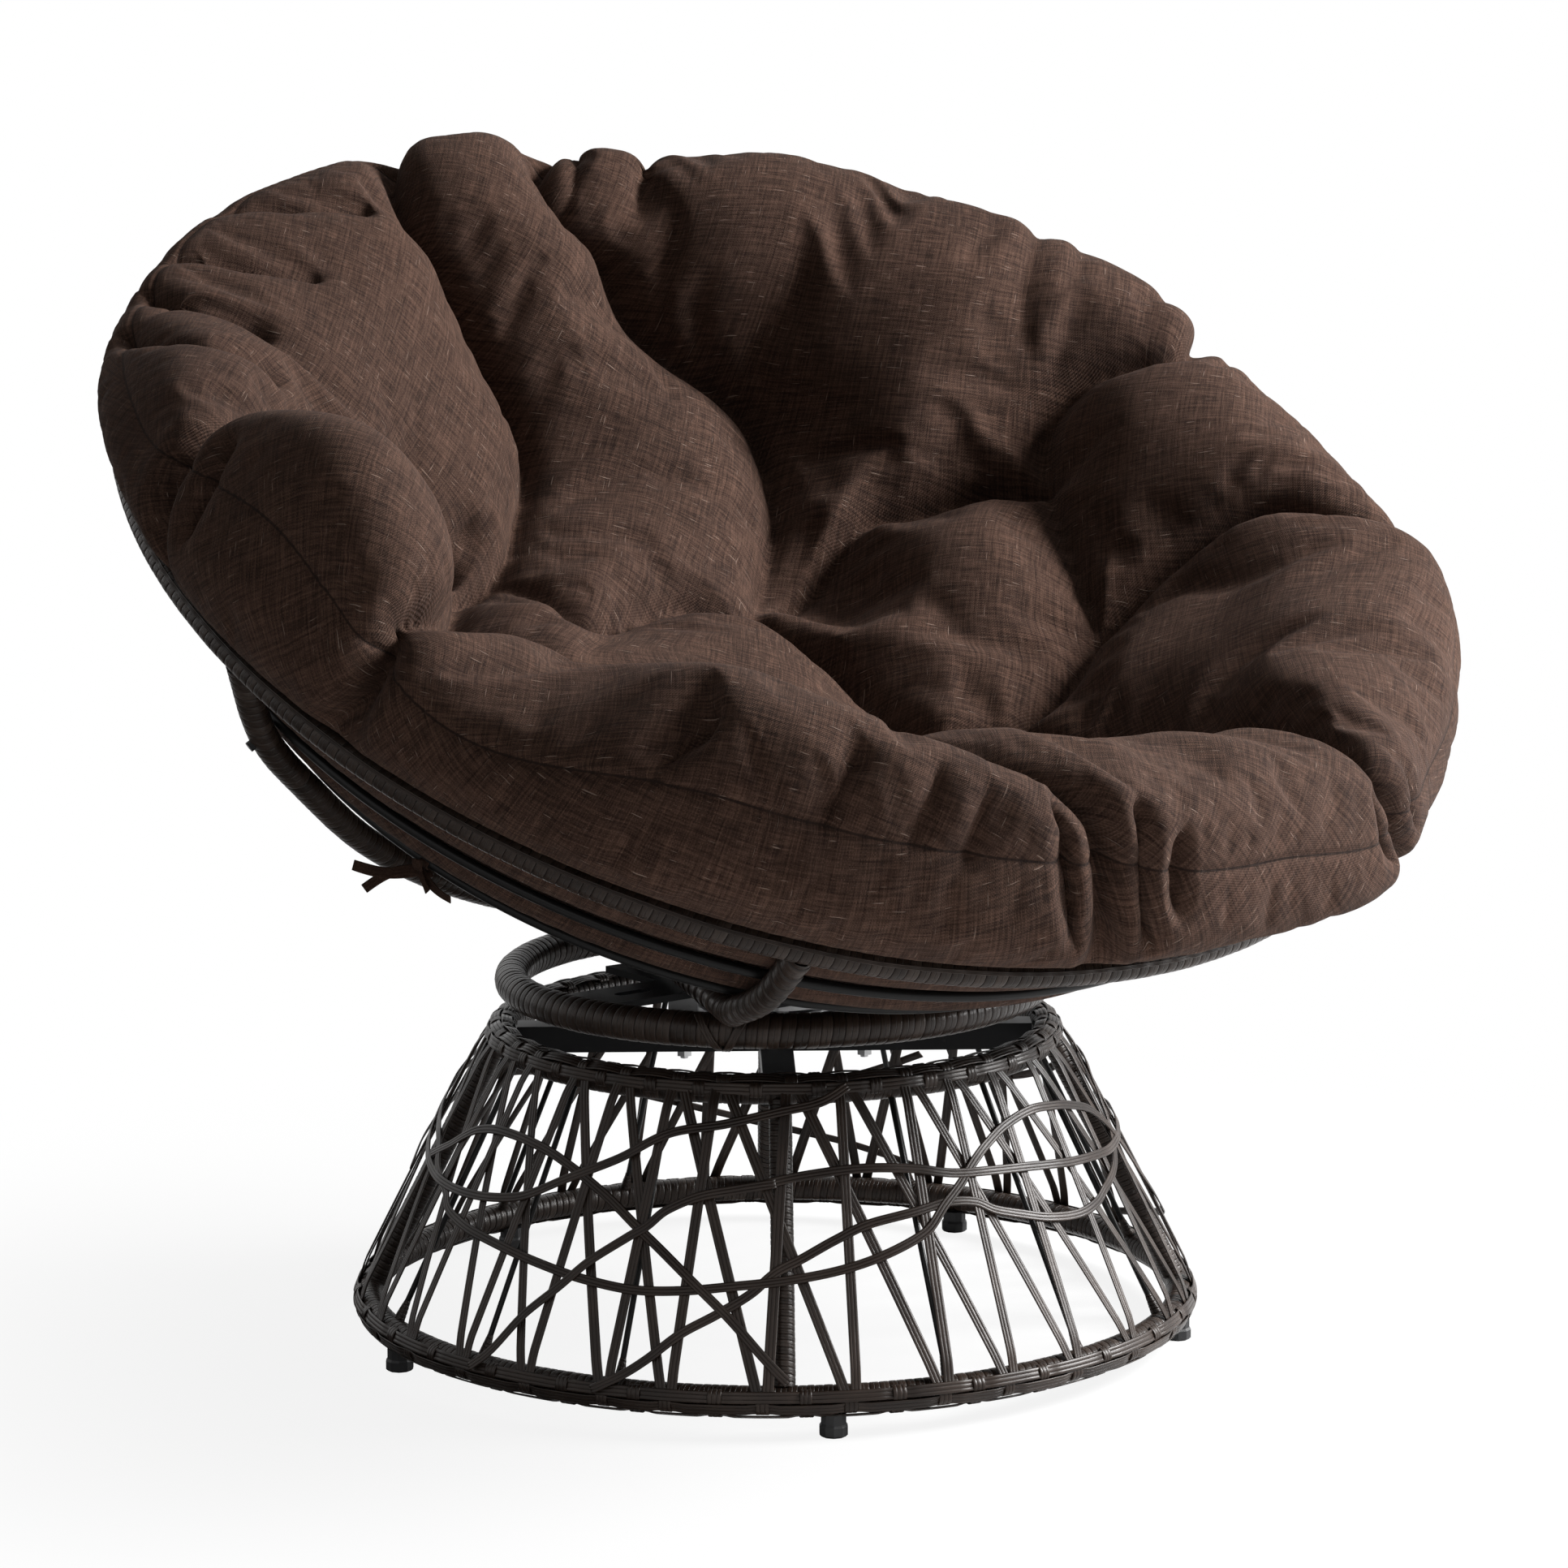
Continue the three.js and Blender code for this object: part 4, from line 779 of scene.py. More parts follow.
def makeBowl():
    angle = np.arange(480) * 0.75
    shell = Shell()
    woundTube(shell, inBowl(angle, bowlValues["rim"], 0.0), bowlUp, bowlValues["rimTube"], rings["rimPitch"],
              closed=True, sides=20, relief=0.6, seed=21)
    rimDashes(shell)
    addPiece("rim_wrap", shell, "seat", wickerWrap, ["rim_ring"])
    for hoop in ("upper", "lower"):
        shell = Shell()
        radius, drop = bowlValues[hoop]
        turn = np.arange(14) / 14 * 2 * np.pi
        centre = inBowl(angle, radius, drop)[:, None]
        out = unit(inBowl(angle, radius + 1, drop) - inBowl(angle, radius, drop))[:, None]
        p = centre + bowlValues["rod"] * (np.cos(turn)[None, :, None] * out + np.sin(turn)[None, :, None] * bowlUp)
        shell.grid(p, layGrid(np.arange(481)[:, None] * 0.01, np.arange(15)[None, :] / 15.0), roundRows=True,
                   roundColumns=True, flip=True)
        addPiece(hoop + "_hoop_rod", shell, "seat", blackRod, [hoop + "_hoop"])


makeSeatFrame()
makeBowl()
print("seat frame made")

# Middle angle, height over the rim and overhang of each lobe of the cushion
cushionLobes = np.array([(-130, 170, 34), (-108, 168, 34), (-84, 153, 41), (-70, 140, 57), (-54, 122, 38),
                         (-38, 110, 43), (-24, 111, 58), (-10, 110, 30), (4, 110, 29), (20, 115, 46), (36, 120, 27),
                         (56, 103, 34), (72, 76, 27), (87, 89, 25), (112, 73, 20), (138, 66, 18), (166, 116, 31),
                         (188, 192, 34), (209, 110, 32)], float)
cradleTop, railTop = 320.6, 299.3
cushionBottom = -(bowlValues["height"] - cradleTop - 1) / np.cos(tilt)
# longFrom: creases of this half width or more are pressed in before the filling, narrower ones after it
cushionValues = dict(cells=176, seamAt=13.2, sideSteps=14, samples=420, flat=0.70, turn=53.0, room=5.0, longFrom=50)

# Valleys between the lobes: depth and half width in mm, then places as angle and step along the section
# (0 under the middle, 10.5 at the rim, 13.2 at the edge seam, 24 in the middle of the seat)
creases = dict(
    backLeft=(78, 118, [(77, 11), (79, 12.2), (81, 13.6), (82.5, 15.2), (81, 16.2), (76.5, 17), (73.5, 17.8),
                        (69, 18.2), (60, 18.6), (54, 18.9), (48.5, 19.6), (45, 20.8), (42, 22)]),
    petalLeft=(68, 82, [(93.5, 11), (96.5, 12.5), (99.5, 14), (102, 15.6), (102.5, 16.4), (100.5, 17.4), (98.5, 18.2),
                        (96.5, 19), (99, 19.7), (111, 20.4), (132, 20.8), (146, 20.4)]),
    petalFoot=(40, 54, [(132, 20.8), (148, 21.8), (110, 22.4), (84, 22.4), (55, 22.3), (42, 22)]),
    leftFront=(62, 70, [(177, 11), (175, 12.5), (173, 14), (172, 15), (169, 16.4), (162, 17.6), (151, 18.8),
                        (140, 20.2)]),
    frontLeft=(60, 64, [(194, 8.5), (198, 10.5), (200.5, 12), (201.2, 13.6), (202.2, 15), (202.6, 16.2),
                        (197, 17.8), (181, 19.3), (158, 20.3), (146, 20.4)]),
    seatFront=(40, 70, [(146, 20.4), (172, 20.3), (200, 19.8), (230, 19.4), (260, 19.3), (290, 19.5), (318, 20.2)]),
    seatRight=(60, 62, [(42, 22), (10, 22.1), (-18, 21.9), (-40, 21.5), (-48, 21), (-42, 20.2)]),
    panelBack=(56, 72, [(42, 22), (33, 20.9), (31, 19.6), (25, 19.1), (19, 18.6), (12.6, 18.3)]),
    panelRight=(42, 60, [(12.6, 18.3), (5, 18.5), (-4.6, 18.7), (-17, 18.9), (-32, 19.6), (-42, 20.2)]),
    rightPetal=(50, 80, [(12.6, 18.3), (18.6, 17.9), (18, 17.2), (15, 16.4), (12, 15.4), (12.5, 14), (14.5, 12.5),
                         (15.5, 11)]),
    backRight=(14, 55, [(32.5, 11), (32.5, 13), (31, 15.4), (28, 16.8), (23, 17.5), (18.6, 17.9)]),
    armBack=(46, 70, [(-17, 18.9), (-12, 18), (-12, 16.8), (-15.5, 15.6), (-18, 14.2), (-19.5, 12.6), (-21, 11)]),
    armFront=(56, 75, [(-42, 20.2), (-50, 18.9), (-57, 17.8), (-63, 16.6), (-66.5, 15.4), (-67.5, 14.2), (-66, 13.1),
                       (-64.5, 12), (-64, 10.8)]),
    frontRight=(58, 62, [(-96, 10.8), (-96.6, 11.4), (-97.8, 12.2), (-99, 13), (-100.6, 14), (-102.6, 14.8),
                         (-108.5, 15.8), (-116.5, 17), (-124, 18.3), (-130, 19.4)]),
    # gathers beside the pinches at the rim
    gatherFront1=(22, 16, [(-104.3, 14.8), (-103.6, 13.8), (-102.2, 12.8), (-99.8, 11.7)]),
    gatherFront2=(22, 16, [(-96.6, 14.8), (-96.8, 14), (-96.4, 13.2), (-95, 12.4), (-93, 11.6)]),
    gatherFront3=(15, 16, [(-92.8, 14.2), (-93, 13.2), (-91.8, 12.3)]),
    gatherArm1=(17, 17, [(-70.5, 14.6), (-70, 13.4), (-68, 12.4)]),
    gatherArm2=(15, 17, [(-63.5, 14.4), (-62.5, 13.4), (-61, 12.3)]),
    gatherLeft1=(17, 20, [(178, 14.4), (179, 13.4), (180.5, 12)]),
    gatherLeft2=(22, 33, [(145.4, 11.8), (146, 12.5), (149.2, 13.6), (154.4, 15.2), (154, 16.2), (152.5, 17.1)]),
    gatherLeft3=(20, 31, [(136.4, 11.8), (137, 12.5), (138.7, 13.7), (140.5, 15.3), (138.7, 16.6)]),
    gatherLeft4=(13, 30, [(131.4, 11.8), (131, 12.7), (130.2, 13.8), (128.4, 15.4), (123.3, 16.7)]),
    gatherLeft5=(12, 30, [(120.6, 11.8), (120, 12.9), (118.2, 14), (114.2, 15.2), (107.9, 16.1)]),
    gatherRight1=(10, 20, [(20, 15.8), (18.5, 14.8), (18, 13.6)]),
    gatherRight2=(9, 20, [(7.5, 15.6), (8.5, 14.6), (10, 13.4)]),
    gatherBack1=(15, 20, [(73.5, 16.6), (71.5, 15), (70.2, 13.4), (68.6, 11.4)]),
    gatherBack2=(14, 15, [(80.4, 16.4), (78.6, 14.8), (77.4, 13.2), (76, 11.4)]),
    dent1=(12, 34, [(-133, 15.1), (-134.5, 14.2), (-136, 13.2)]),
    dent2=(12, 30, [(-121, 15), (-122, 14), (-123, 13)]),
    dent3=(11, 26, [(-114.5, 15), (-115, 14), (-116, 13)]),
    dent4=(9, 24, [(-110.5, 14.6), (-111, 13.6), (-111.5, 12.8)]),
    pocket=(16, 30, [(146, 20.4), (137, 20.1), (128, 20.1)]),
)


seamDip = dict(depth=1.6, half=3.5)
# Round swellings of the seat: height (a pit is negative), radius, then the place as angle and step
swellings = dict(panel=(24, 95, 2, 19.5), pit=(-40, 78, 27, 21), tuft=(-16, 60, 140, 20.6))


# Smooth round the chair through the lobes' own values
def aroundLobes(column, a):
    middles = cushionLobes[:, 0]
    m = np.concatenate([middles[-1:] - 360, middles, middles[:1] + 360])
    v = np.concatenate([cushionLobes[-1:, column], cushionLobes[:, column], cushionLobes[:1, column]])
    a = (a + 130) % 360 - 130
    k = np.clip(np.searchsorted(m, a, side="right") - 1, 0, len(m) - 2)
    t = smooth(0, 1, (a - m[k]) / (m[k + 1] - m[k]))
    return v[k] * (1 - t) + v[k + 1] * t


# Section of the full cushion at an angle, from under its middle round the edge to the seat's middle
def cushionSection(a):
    top, reach = aroundLobes(1, a), bowlValues["rim"] + aroundLobes(2, a)
    touch, above = diagonal * 5.2, 10.7         # how far the cloth stays off a hoop's middle, and off the rim's
    (lowRadius, lowDrop), (upRadius, upDrop) = bowlValues["lower"], bowlValues["upper"]

    def floor(radius):
        up = radius * np.sin(deg(a))
        forward = smooth(70, 160, -up)
        lowest = cradleTop + (railTop - cradleTop) * forward + 1
        return -(bowlValues["height"] + up * np.sin(tilt) - lowest) / np.cos(tilt)

    under = [(r, max(h, floor(r))) for r, h in ((70, cushionBottom + 8), (150, cushionBottom + 38),
                                                (240, cushionBottom + 90), (315, cushionBottom + 142))]
    return np.array([(0, cushionBottom)] + under + [
        (lowRadius - touch, touch - lowDrop), (upRadius - touch, touch - upDrop), (452, -29), (466, -6),
        (474, above - 2), (488, above), (504, above + 9), (reach, min(54, top * 0.56)),
        (reach - 4, top * 0.56 + 12), (reach - 20, top * 0.88), (reach - 50, top), (reach - 90, top * 0.97),
        (reach - 135, top * 0.74), (reach - 185, top * 0.38 - 14),
        (270, -24), (215, -48), (165, -62), (95, -72), (45, -78), (0, -80)], float)


# The whole surface unrolled from the seat's middle: q is the length along a section, so q and the angle are
# polar coordinates of a plane
class Unrolled:
    def __init__(self):
        self.angles = np.arange(0, 361, 1.0)
        steps = cushionValues["sideSteps"]
        self.sections, self.lengths, self.atStep = [], [], []
        for a in self.angles:
            line = curveThrough(np.pad(cushionSection(a), ((0, 0), (0, 1))), steps)[::-1, :2]
            run = lengthAlong(line)
            share = np.linspace(0, run[-1], cushionValues["samples"])
            self.sections.append(np.stack([np.interp(share, run, line[:, k]) for k in (0, 1)], -1))
            self.lengths.append(run[-1])
            self.atStep.append(run[::-1])
        self.sections, self.lengths, self.atStep = (np.array(v) for v in (self.sections, self.lengths, self.atStep))

    # Length along the section at a step counted from under the middle
    def lengthTo(self, a, step):
        a = np.asarray(a, float) % 360
        row = np.round(a).astype(int)
        k = np.clip(np.asarray(step, float) * cushionValues["sideSteps"], 0, self.atStep.shape[1] - 1)
        low = np.minimum(k.astype(int), self.atStep.shape[1] - 2)
        return self.atStep[row, low] * (1 - (k - low)) + self.atStep[row, low + 1] * (k - low)

    def at(self, a, q):
        a = np.asarray(a, float) % 360
        i = np.minimum(a.astype(int), 359)
        t = (a - i)[..., None]
        length = self.lengths[i] * (1 - t[..., 0]) + self.lengths[i + 1] * t[..., 0]
        last = cushionValues["samples"] - 1
        k = np.clip(q / length, 0, 1) * last
        j = np.minimum(k.astype(int), last - 1)
        u = (k - j)[..., None]
        s = self.sections
        rh = (s[i, j] * (1 - u) + s[i, j + 1] * u) * (1 - t) + (s[i + 1, j] * (1 - u) + s[i + 1, j + 1] * u) * t
        return inBowl(a, rh[..., 0], -rh[..., 1])

    def inPlane(self, x, y):
        return self.at(np.degrees(np.arctan2(y, x)), np.hypot(x, y))


# Distance from points to the nearest part of a polyline, and the number that the polyline has there
def distanceTo(points, line, number):
    best, at = np.full(len(points), 1e9), np.zeros(len(points))
    low, high = line.min(0) - 110, line.max(0) + 110
    near = np.where(((points > low) & (points < high)).all(1))[0]
    p = points[near]
    found, own = np.full(len(near), 1e9), np.zeros(len(near))
    for k in range(len(line) - 1):
        ab = line[k + 1] - line[k]
        t = np.clip(((p - line[k]) @ ab) / max(ab @ ab, 1e-9), 0, 1)
        gap = np.linalg.norm(p - line[k] - t[:, None] * ab, axis=1)
        nearer = gap < found
        found = np.where(nearer, gap, found)
        own = np.where(nearer, number[k] * (1 - t) + number[k + 1] * t, own)
    best[near], at[near] = found, own
    return best, at


# Square grid laid on a disc without a pole: the distance from the middle is the larger of the two coordinates
def squareOnDisc(cells):
    line = np.linspace(-1, 1, cells + 1)
    x, y = np.meshgrid(line, line, indexing="ij")
    wide = np.abs(x) > np.abs(y)
    safeX, safeY = np.where(x == 0, 1e-9, x), np.where(y == 0, 1e-9, y)
    radius = np.where(wide, x, y)
    turn = np.where(wide, np.pi / 4 * y / safeX, np.pi / 2 - np.pi / 4 * x / safeY)
    return radius * np.cos(turn), radius * np.sin(turn)


# Valley across a crease: two round flanks that meet in it, as two full pillows do
def valley(distance, depth, half):
    t = 1 - np.clip((np.sqrt(distance ** 2 + 9) - 3) / half, 0, 1)
    return depth * (1 - np.sqrt(np.clip(1 - t * t, 0, 1)))


def cushionForm(unrolled, x, y, top):
    radius = np.hypot(x, y)
    a = np.degrees(np.arctan2(y, x))
    seam = unrolled.lengthTo(a, cushionValues["seamAt"] + 0 * a)
    full = np.interp(a % 360, unrolled.angles, unrolled.lengths)
    q = radius * seam if top else full - radius * (full - seam)
    p = unrolled.at(a, q)
    px, py = q * np.cos(deg(a)), q * np.sin(deg(a))
    step = 4.0
    dx = unrolled.inPlane(px + step, py) - unrolled.inPlane(px - step, py)
    dy = unrolled.inPlane(px, py + step) - unrolled.inPlane(px, py - step)
    normal = unit(np.cross(dx, dy))
    if not top:
        down = np.clip(1 - radius / 0.25, 0, 1)[..., None]
        normal = unit(normal * (1 - down) - bowlUp * down)
    return p.reshape(-1, 3), normal.reshape(-1, 3), a.ravel(), q.ravel()


# Underside: the cloth bulges a little between the hoops and the rim
def underBulge(unrolled, a, q):
    out = np.zeros(len(a))
    for low, high, depth in ((4.2, 4.95, 3.0), (5.12, 5.9, 9.0), (6.1, 9.0, 10.0)):
        first, last = unrolled.lengthTo(a, low + 0 * a), unrolled.lengthTo(a, high + 0 * a)
        t = np.clip((q - last) / (first - last), 0, 1)
        out += depth * np.sin(np.pi * t)
    return out


# A long crease is narrower and less deep at the edge of the cushion than inside
def alongCrease(name, step):
    back = name in ("backLeft", "petalLeft", "rightPetal", "armBack")
    outside = 0.42 if back else 0.72
    deep = np.interp(step, [10.5, 12, 14, 16.5, 18], [0.8 * outside, outside, 0.5 + 0.5 * outside, 0.95, 1])
    if name in ("backLeft", "petalLeft", "panelBack"):
        deep = deep * np.interp(step, [19, 20.5, 22], [1, 0.8, 0.55])
    wide = np.interp(step, [10.5, 12.5, 14.5, 16.5, 18.5], [0.32, 0.4, 0.52, 0.8, 1])
    return deep, wide


def creaseLines(unrolled, wanted):
    lines = []
    for name, (depth, half, places) in creases.items():
        if (half >= cushionValues["longFrom"]) != wanted:
            continue
        a = np.array([place[0] for place in places], float)
        q = unrolled.lengthTo(a, [place[1] for place in places])
        plane = curveThrough(np.stack([q * np.cos(deg(a)), q * np.sin(deg(a)), 0 * q], -1), 6)
        step = stepAt(unrolled, np.degrees(np.arctan2(plane[:, 1], plane[:, 0])), np.hypot(plane[:, 0], plane[:, 1]))
        lines.append((name, depth, half, unrolled.inPlane(plane[:, 0], plane[:, 1]), step))
    return lines


def makeCushion():
    values = cushionValues
    cells = values["cells"]
    unrolled = Unrolled()
    x, y = squareOnDisc(cells)
    covers = [cushionForm(unrolled, x, y, top) for top in (True, False)]
    formed, freedom, folds, seams = [], [], [], []
    for which, (p, normal, a, q) in enumerate(covers):
        main = np.zeros(len(p))
        close = np.full(len(p), 1e9)
        for name, depth, half, line, step in creaseLines(unrolled, True):
            distance, at = distanceTo(p, line, step)
            deep, wide = alongCrease(name, at)
            main = np.maximum(main, valley(distance, depth * deep, half * wide))
            close = np.minimum(close, distance)
        for height, wide, angle, place in swellings.values():
            middle = unrolled.at(angle, unrolled.lengthTo(angle, place))
            t = np.clip(1 - (np.linalg.norm(p - middle, axis=1) / wide) ** 2, 0, 1)
            main = main - height * t ** 2
        seamGap = q - unrolled.lengthTo(a, values["seamAt"] + 0 * a)
        step = stepAt(unrolled, a, q)
        fade = smooth(10.4, 11.8, step) if which else 1.0
        free = smooth(3, 26, close) * smooth(0, 25, np.abs(seamGap)) * (fade if which else 1.0)
        moved = p - normal * (main * fade + values["room"] * smooth(11.5, 14, step) * smooth(3, 40, close))[:, None]
        if which:
            moved = moved + normal * underBulge(unrolled, a, q)[:, None]
        formed.append(moved)
        freedom.append(free)
        folds.append(np.clip(1 - main / 50, 0.3, 1) * fade)
        seams.append(seamGap)
    shell = Shell()
    turn = deg(values["turn"])
    flat = np.stack([x * np.cos(turn) + y * np.sin(turn), y * np.cos(turn) - x * np.sin(turn)], -1) * values["flat"]
    n = cells + 1
    for which in (0, 1):
        shell.grid(formed[which].reshape(n, n, 3), flat, flip=which == 0)
    data = shell.mesh("cushion_cover")
    home = np.concatenate([cover[0] for cover in covers])
    for name, kind, key, value in (("free", "FLOAT", "value", freedom), ("fold", "FLOAT", "value", folds),
                                   ("seam", "FLOAT", "value", seams), ("home", "FLOAT_VECTOR", "vector", [home])):
        made = data.attributes.new(name, kind, "POINT")
        made.data.foreach_set(key, np.concatenate(value).astype(np.float32).ravel())
    joined = bmesh.new()
    joined.from_mesh(data)
    bmesh.ops.remove_doubles(joined, verts=joined.verts, dist=0.00002)
    bmesh.ops.recalc_face_normals(joined, faces=joined.faces)
    joined.to_mesh(data)
    joined.free()
    piece = addPiece("cushion_cover", data, "seat", brownCloth, ["cushion"])
    fillCushion(piece)
    gatherCushion(piece, unrolled)


# One number, or one row of three, for each point of a mesh
def readPoints(items, key, width=1):
    out = np.zeros(len(items) * width, np.float32)
    items.foreach_get(key, out)
    return out.reshape(-1, width) if width > 1 else out


# One subdivision, and on it the narrow folds beside the pinches, the dents and the sewn edge
def gatherCushion(piece, unrolled):
    finer = piece.modifiers.new("finer", "SUBSURF")
    finer.levels = finer.render_levels = 1
    done = bpy.data.meshes.new_from_object(piece.evaluated_get(bpy.context.evaluated_depsgraph_get()))
    piece.modifiers.remove(finer)
    home = readPoints(done.attributes["home"].data, "vector", 3).astype(float)
    fold, seam = (readPoints(done.attributes[name].data, "value") for name in ("fold", "seam"))
    place, normal = readPoints(done.vertices, "co", 3), readPoints(done.vertex_normals, "vector", 3)
    dip = np.zeros(len(place))
    for name, depth, half, line, step in creaseLines(unrolled, False):
        run = lengthAlong(line)
        distance, at = distanceTo(home, line, run)
        dip = np.maximum(dip, valley(distance, depth * smooth(0, 24, np.minimum(at, run[-1] - at)), half))
    dip = dip * fold + seamDip["depth"] * np.exp(-(seam / seamDip["half"]) ** 2)
    place = place - normal * (dip / 1000)[:, None].astype(np.float32)
    done.vertices.foreach_set("co", place.ravel())
    for name in ("home", "fold", "seam", "free"):
        done.attributes.remove(done.attributes[name])
    piece.vertex_groups.clear()
    done.update()
    done.shade_smooth()
    piece.data = done
    print("cushion", len(done.polygons), "faces")


# The cover is cut a little wider than its shape and blown up by its filling, so that it wrinkles where the
# creases hold it. No point moves farther than most, in metres; held points keep their place in so many levels
fillValues = dict(frames=20, levels=20, most=0.022)
clothRules = dict(quality=5, mass=0.25, tension_stiffness=12, compression_stiffness=12, shear_stiffness=6,
                  bending_stiffness=2.0, air_damping=2, use_pressure=True, uniform_pressure_force=4, shrink_min=-0.03,
                  vertex_group_mass="held", pin_stiffness=1)


def fillCushion(piece):
    data, scene = piece.data, bpy.context.scene
    frames, levels = fillValues["frames"], fillValues["levels"]
    start = readPoints(data.vertices, "co", 3)
    free = readPoints(data.attributes["free"].data, "value")
    held = piece.vertex_groups.new(name="held")
    for level in range(1, levels + 1):
        these = np.where(np.round((1 - free) * levels).astype(int) == level)[0]
        held.add(these.tolist(), level / levels, "REPLACE")
    cloth = piece.modifiers.new("cloth", "CLOTH")
    for key, value in clothRules.items():
        setattr(cloth.settings, key, value)
    cloth.settings.effector_weights.gravity = 0
    cloth.collision_settings.use_collision = False
    cloth.point_cache.frame_start, cloth.point_cache.frame_end = 1, frames
    for frameNumber in range(1, frames + 1):
        scene.frame_set(frameNumber)
    done = piece.evaluated_get(bpy.context.evaluated_depsgraph_get()).data
    move = readPoints(done.vertices, "co", 3) - start
    piece.modifiers.remove(cloth)
    scene.frame_set(1)
    length = np.maximum(np.linalg.norm(move, axis=1), 1e-9)
    print("cushion moved", round(float(length.mean()) * 1000, 1), "mm on average,",
          round(float(length.max()) * 1000, 1), "at most")
    most = fillValues["most"] * free + 1e-6
    move *= (most * np.tanh(length / most) / length)[:, None]
    data.vertices.foreach_set("co", (start + move).astype(np.float32).ravel())
    data.update()


# Step along the section, counted from under the middle, at a length from the seat's middle
def stepAt(unrolled, a, q):
    row = np.round(np.asarray(a) % 360).astype(int)
    runs = unrolled.atStep[:, ::-1]
    out = np.zeros(len(q))
    count = runs.shape[1] - 1
    for r in np.unique(row):
        here = row == r
        out[here] = (count - np.interp(q[here], runs[r], np.arange(count + 1))) / cushionValues["sideSteps"]
    return out


makeCushion()

# Each tie: a turn round the lower hoop, a short band across it as the knot, and four ends. An end runs from the
# knot by its vector (along the hoop, out, down in mm) in a shallow arc.
tieValues = dict(width=8.5, thick=1.2, angles=[202.5, 22.5],
                 ends=[(-47, 16, -2, 4), (-40, 12, 15, -5), (30, 7, 17, 3), (11, 6, 13, 0)])


def makeTies():
    shell = Shell()
    values = tieValues
    t = np.linspace(0, 1, 24)
    hoopRadius, hoopDrop = bowlValues["lower"]
    for k, angle in enumerate(values["angles"]):
        for turned, (reach, across) in enumerate(((5.0, 0.0), (9.6, 1.0))):
            turn = deg(-30 + 330 * t) if not turned else deg(-20 + 130 * t)
            out, drop = reach * np.cos(turn), reach * np.sin(turn)
            centre = inBowl(angle + across * (t - 0.5), hoopRadius + out, hoopDrop + drop)
            facing = inBowl(angle + 0 * t, hoopRadius + 2 * out, hoopDrop + 2 * drop) - centre
            ribbon(shell, centre, facing, values["width"], values["thick"], 300 + 2 * k + turned)
        side = onCircle(1.0, angle + 90, 0.0)
        outward = onCircle(1.0, angle, 0.0)
        knot = inBowl(angle, hoopRadius + 6.5, hoopDrop + 5.5)
        for j, (along, out, down, arc) in enumerate(values["ends"]):
            path = t[:, None] * (along * side + out * outward + [0, 0, -down])
            path = knot + path - np.sin(np.pi * t)[:, None] * arc * np.array([0, 0, 1.0]) + (0.9 * j - 1.3) * outward
            facing = outward + 0.35 * np.sin(3 * t[:, None] + j) * np.array([0, 0, 1.0]) + 0 * path
            ribbon(shell, path, facing, values["width"] * (1 - 0.1 * j), values["thick"], 310 + 4 * k + j)
    addPiece("tie_ribbons", shell, "seat", brownCloth, ["tie_1", "tie_2"])


makeTies()
print("cushion made")

view = dict(away=3.837, height=1.0607, turn=37.13, pitch=9.5647, roll=-0.1838, yaw=0.1181, lens=119.29)


def makeCamera():
    pitch, roll, yaw, turn = (deg(view[k]) for k in ("pitch", "roll", "yaw", "turn"))
    ahead = np.array([np.sin(yaw) * np.cos(pitch), np.cos(yaw) * np.cos(pitch), -np.sin(pitch)])
    right = np.array([np.cos(yaw), -np.sin(yaw), 0.0])
    up = np.cross(right, ahead)
    right, up = right * np.cos(roll) + up * np.sin(roll), up * np.cos(roll) - right * np.sin(roll)
    back = np.array([[np.cos(turn), np.sin(turn), 0], [-np.sin(turn), np.cos(turn), 0], [0, 0, 1]])
    place = back @ np.array([0, -view["away"], view["height"]]) + [0, axisBack / 1000, 0]
    axes = np.eye(4)
    axes[:3, 0], axes[:3, 1], axes[:3, 2], axes[:3, 3] = back @ right, back @ up, -(back @ ahead), place
    data = bpy.data.cameras.new("camera")
    data.sensor_width, data.sensor_fit, data.lens = 36.0, "AUTO", view["lens"]
    camera = bpy.data.objects.new("camera", data)
    bpy.context.scene.collection.objects.link(camera)
    camera.matrix_world = Matrix(axes.tolist())
    bpy.context.scene.camera = camera


lamps = [
    # name, azimuth, elevation, distance in metres, size, power in watts, whether dull surfaces get its light
    ("key", -34.0, 31.0, 3.2, 1.4, 266.0, True),
    ("side", -38.0, 19.0, 3.2, 1.7, 210.0, False),
    ("front_fill", -135.0, 24.0, 4.2, 2.6, 10.0, True),
    ("top", 20.0, 80.0, 3.4, 2.2, 9.0, True),
]


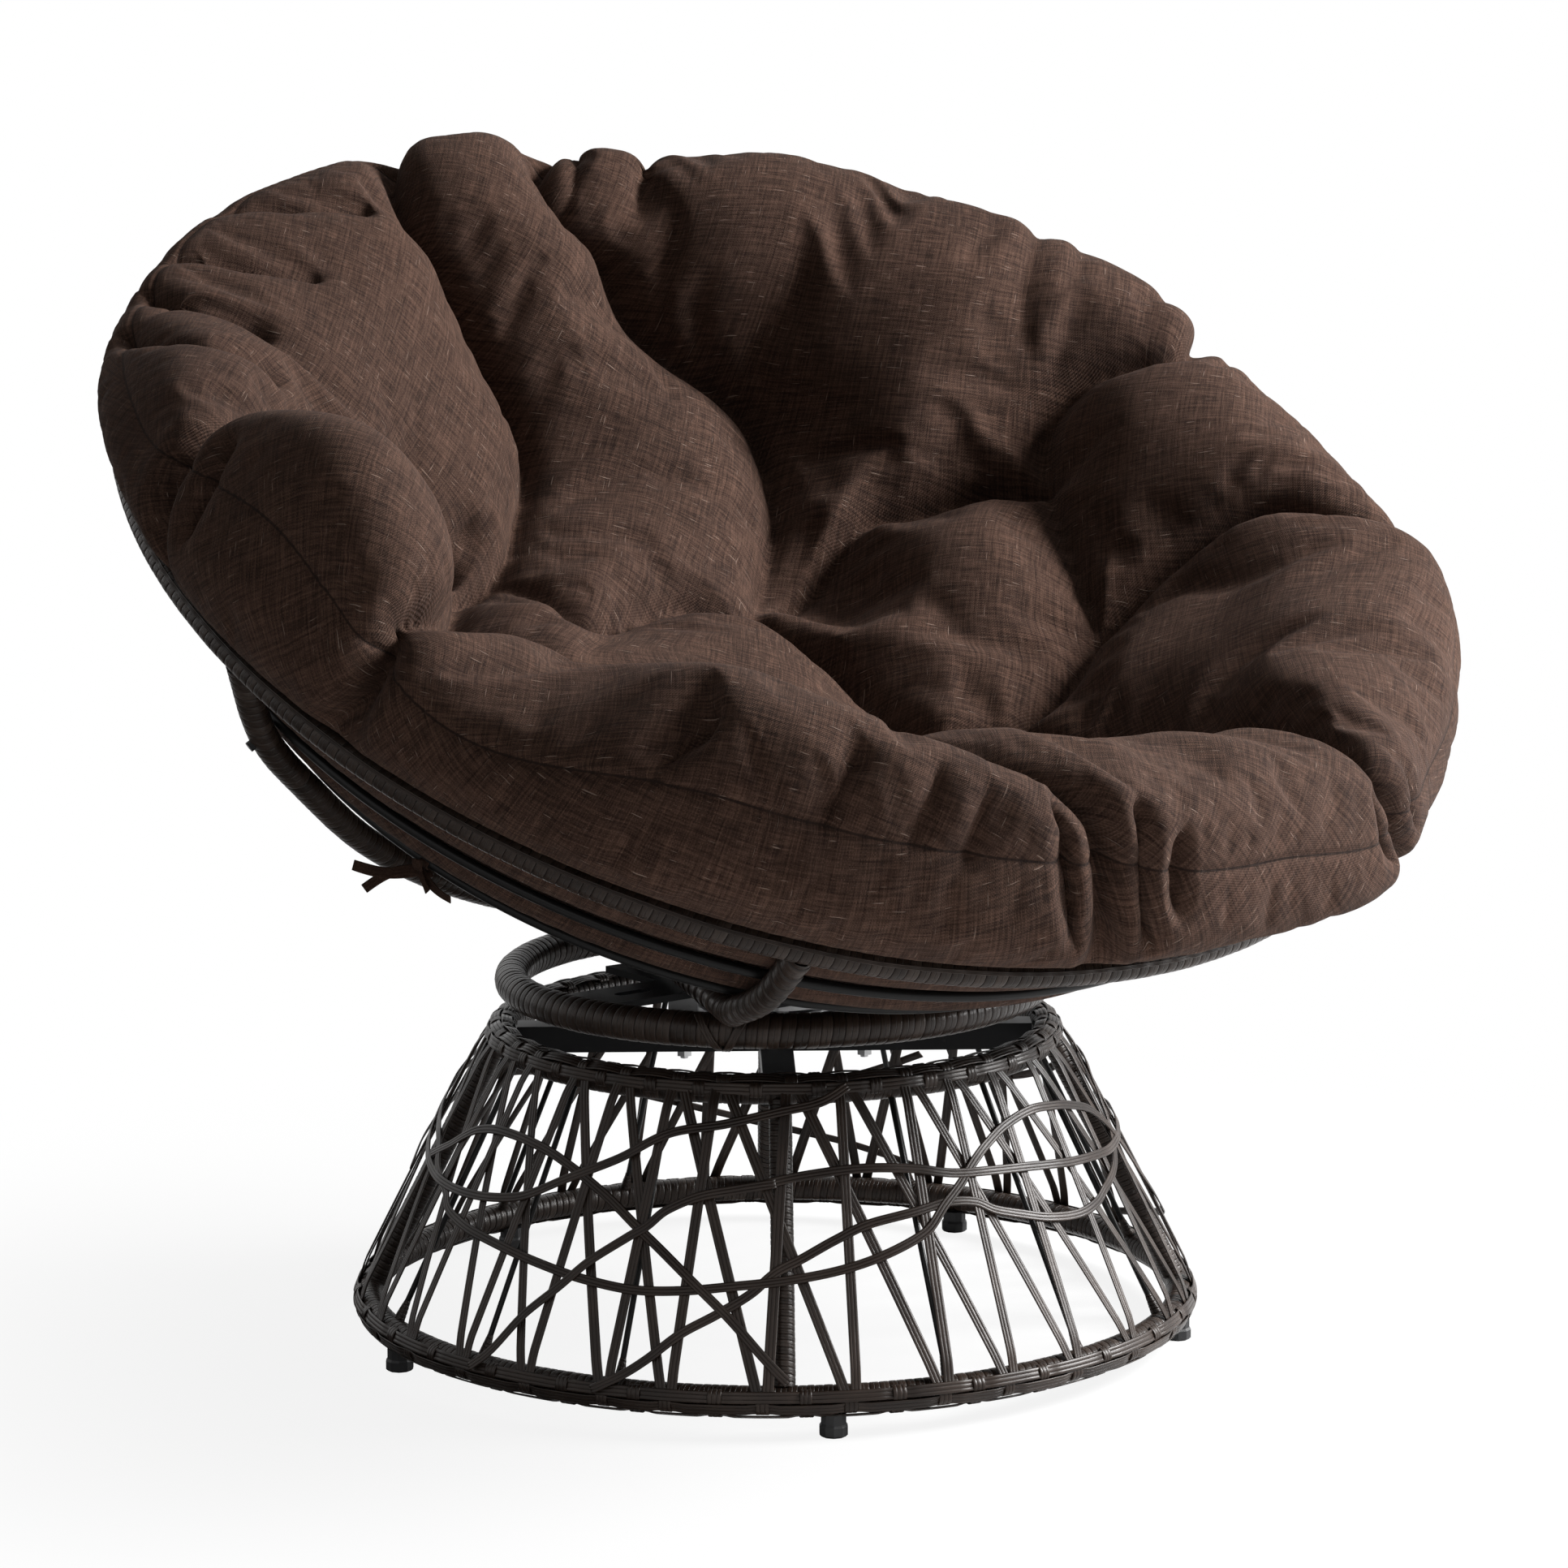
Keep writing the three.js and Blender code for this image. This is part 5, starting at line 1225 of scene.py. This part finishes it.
def makeLamps():
    for name, azimuth, elevation, distance, size, power, dull in lamps:
        data = bpy.data.lights.new(name, "AREA")
        data.shape, data.size, data.energy = "DISK", size, power
        lamp = bpy.data.objects.new(name, data)
        lamp.visible_diffuse = dull
        bpy.context.scene.collection.objects.link(lamp)
        a, e = deg(azimuth), deg(elevation)
        away = np.array([np.cos(a) * np.cos(e), np.sin(a) * np.cos(e), np.sin(e)])
        lamp.location = Vector((away * distance + [0, axisBack / 1000, 0.45]).tolist())
        lamp.rotation_mode = "QUATERNION"
        lamp.rotation_quaternion = Vector(away.tolist()).to_track_quat("Z", "Y")


# The room lights dull surfaces with soft and shows as white to the camera, in gloss and through glass.
# The floor glows under the chair by glow, and up to 1 from near to far, in metres
studioValues = dict(soft=0.065, white=1.0, halfFloor=9.0, floor=(0.8, 0.8, 0.8, 1), glow=0.88, near=0.35, far=1.0)


def makeStudio():
    values = studioValues
    world = Look("studio", bpy.data.worlds)
    bpy.context.scene.world = world.owner
    rays = world.node("ShaderNodeLightPath").socket.node.outputs
    camera, glossy, clear = (Flow(world, rays[f"Is {kind} Ray"]) for kind in ("Camera", "Glossy", "Transmission"))
    seen = camera.most(glossy).most(clear)
    soft, white = (world.node("ShaderNodeBackground", None, {"Color": (1, 1, 1, 1), "Strength": values[name]})
                   for name in ("soft", "white"))
    mixed = world.node("ShaderNodeMixShader", None, [seen, soft, white])
    world.node("ShaderNodeOutputWorld", None, {"Surface": mixed})

    half = values["halfFloor"]
    data = bpy.data.meshes.new("floor")
    data.from_pydata([(-half, -half, 0), (half, -half, 0), (half, half, 0), (-half, half, 0)], [], [(0, 1, 2, 3)])
    floor = bpy.data.objects.new("floor", data)
    bpy.context.scene.collection.objects.link(floor)
    look = Look("pale_floor")
    camera = look.node("ShaderNodeLightPath", out="Is Camera Ray")
    place = look.node("ShaderNodeSeparateXYZ", None, [look.place()])
    y = Flow(look, place.socket.node.outputs[1])
    away = (place * place + y * y) ** 0.5
    diffuse = look.node("ShaderNodeBsdfDiffuse", None, {"Color": values["floor"]})
    glow = look.node("ShaderNodeEmission", None, {"Color": (1, 1, 1, 1), "Strength": 1.0})
    share = camera * (values["glow"] + away.rise(values["near"], values["far"]) * (1 - values["glow"]))
    mixed = look.node("ShaderNodeMixShader", None, [share, diffuse, glow])
    look.node("ShaderNodeOutputMaterial", None, {"Surface": mixed})
    data.materials.append(look.owner)


makeCamera()
makeLamps()
makeStudio()
bpy.context.scene.view_settings.view_transform = "Standard"
print("studio made")

bpy.context.view_layer.update()
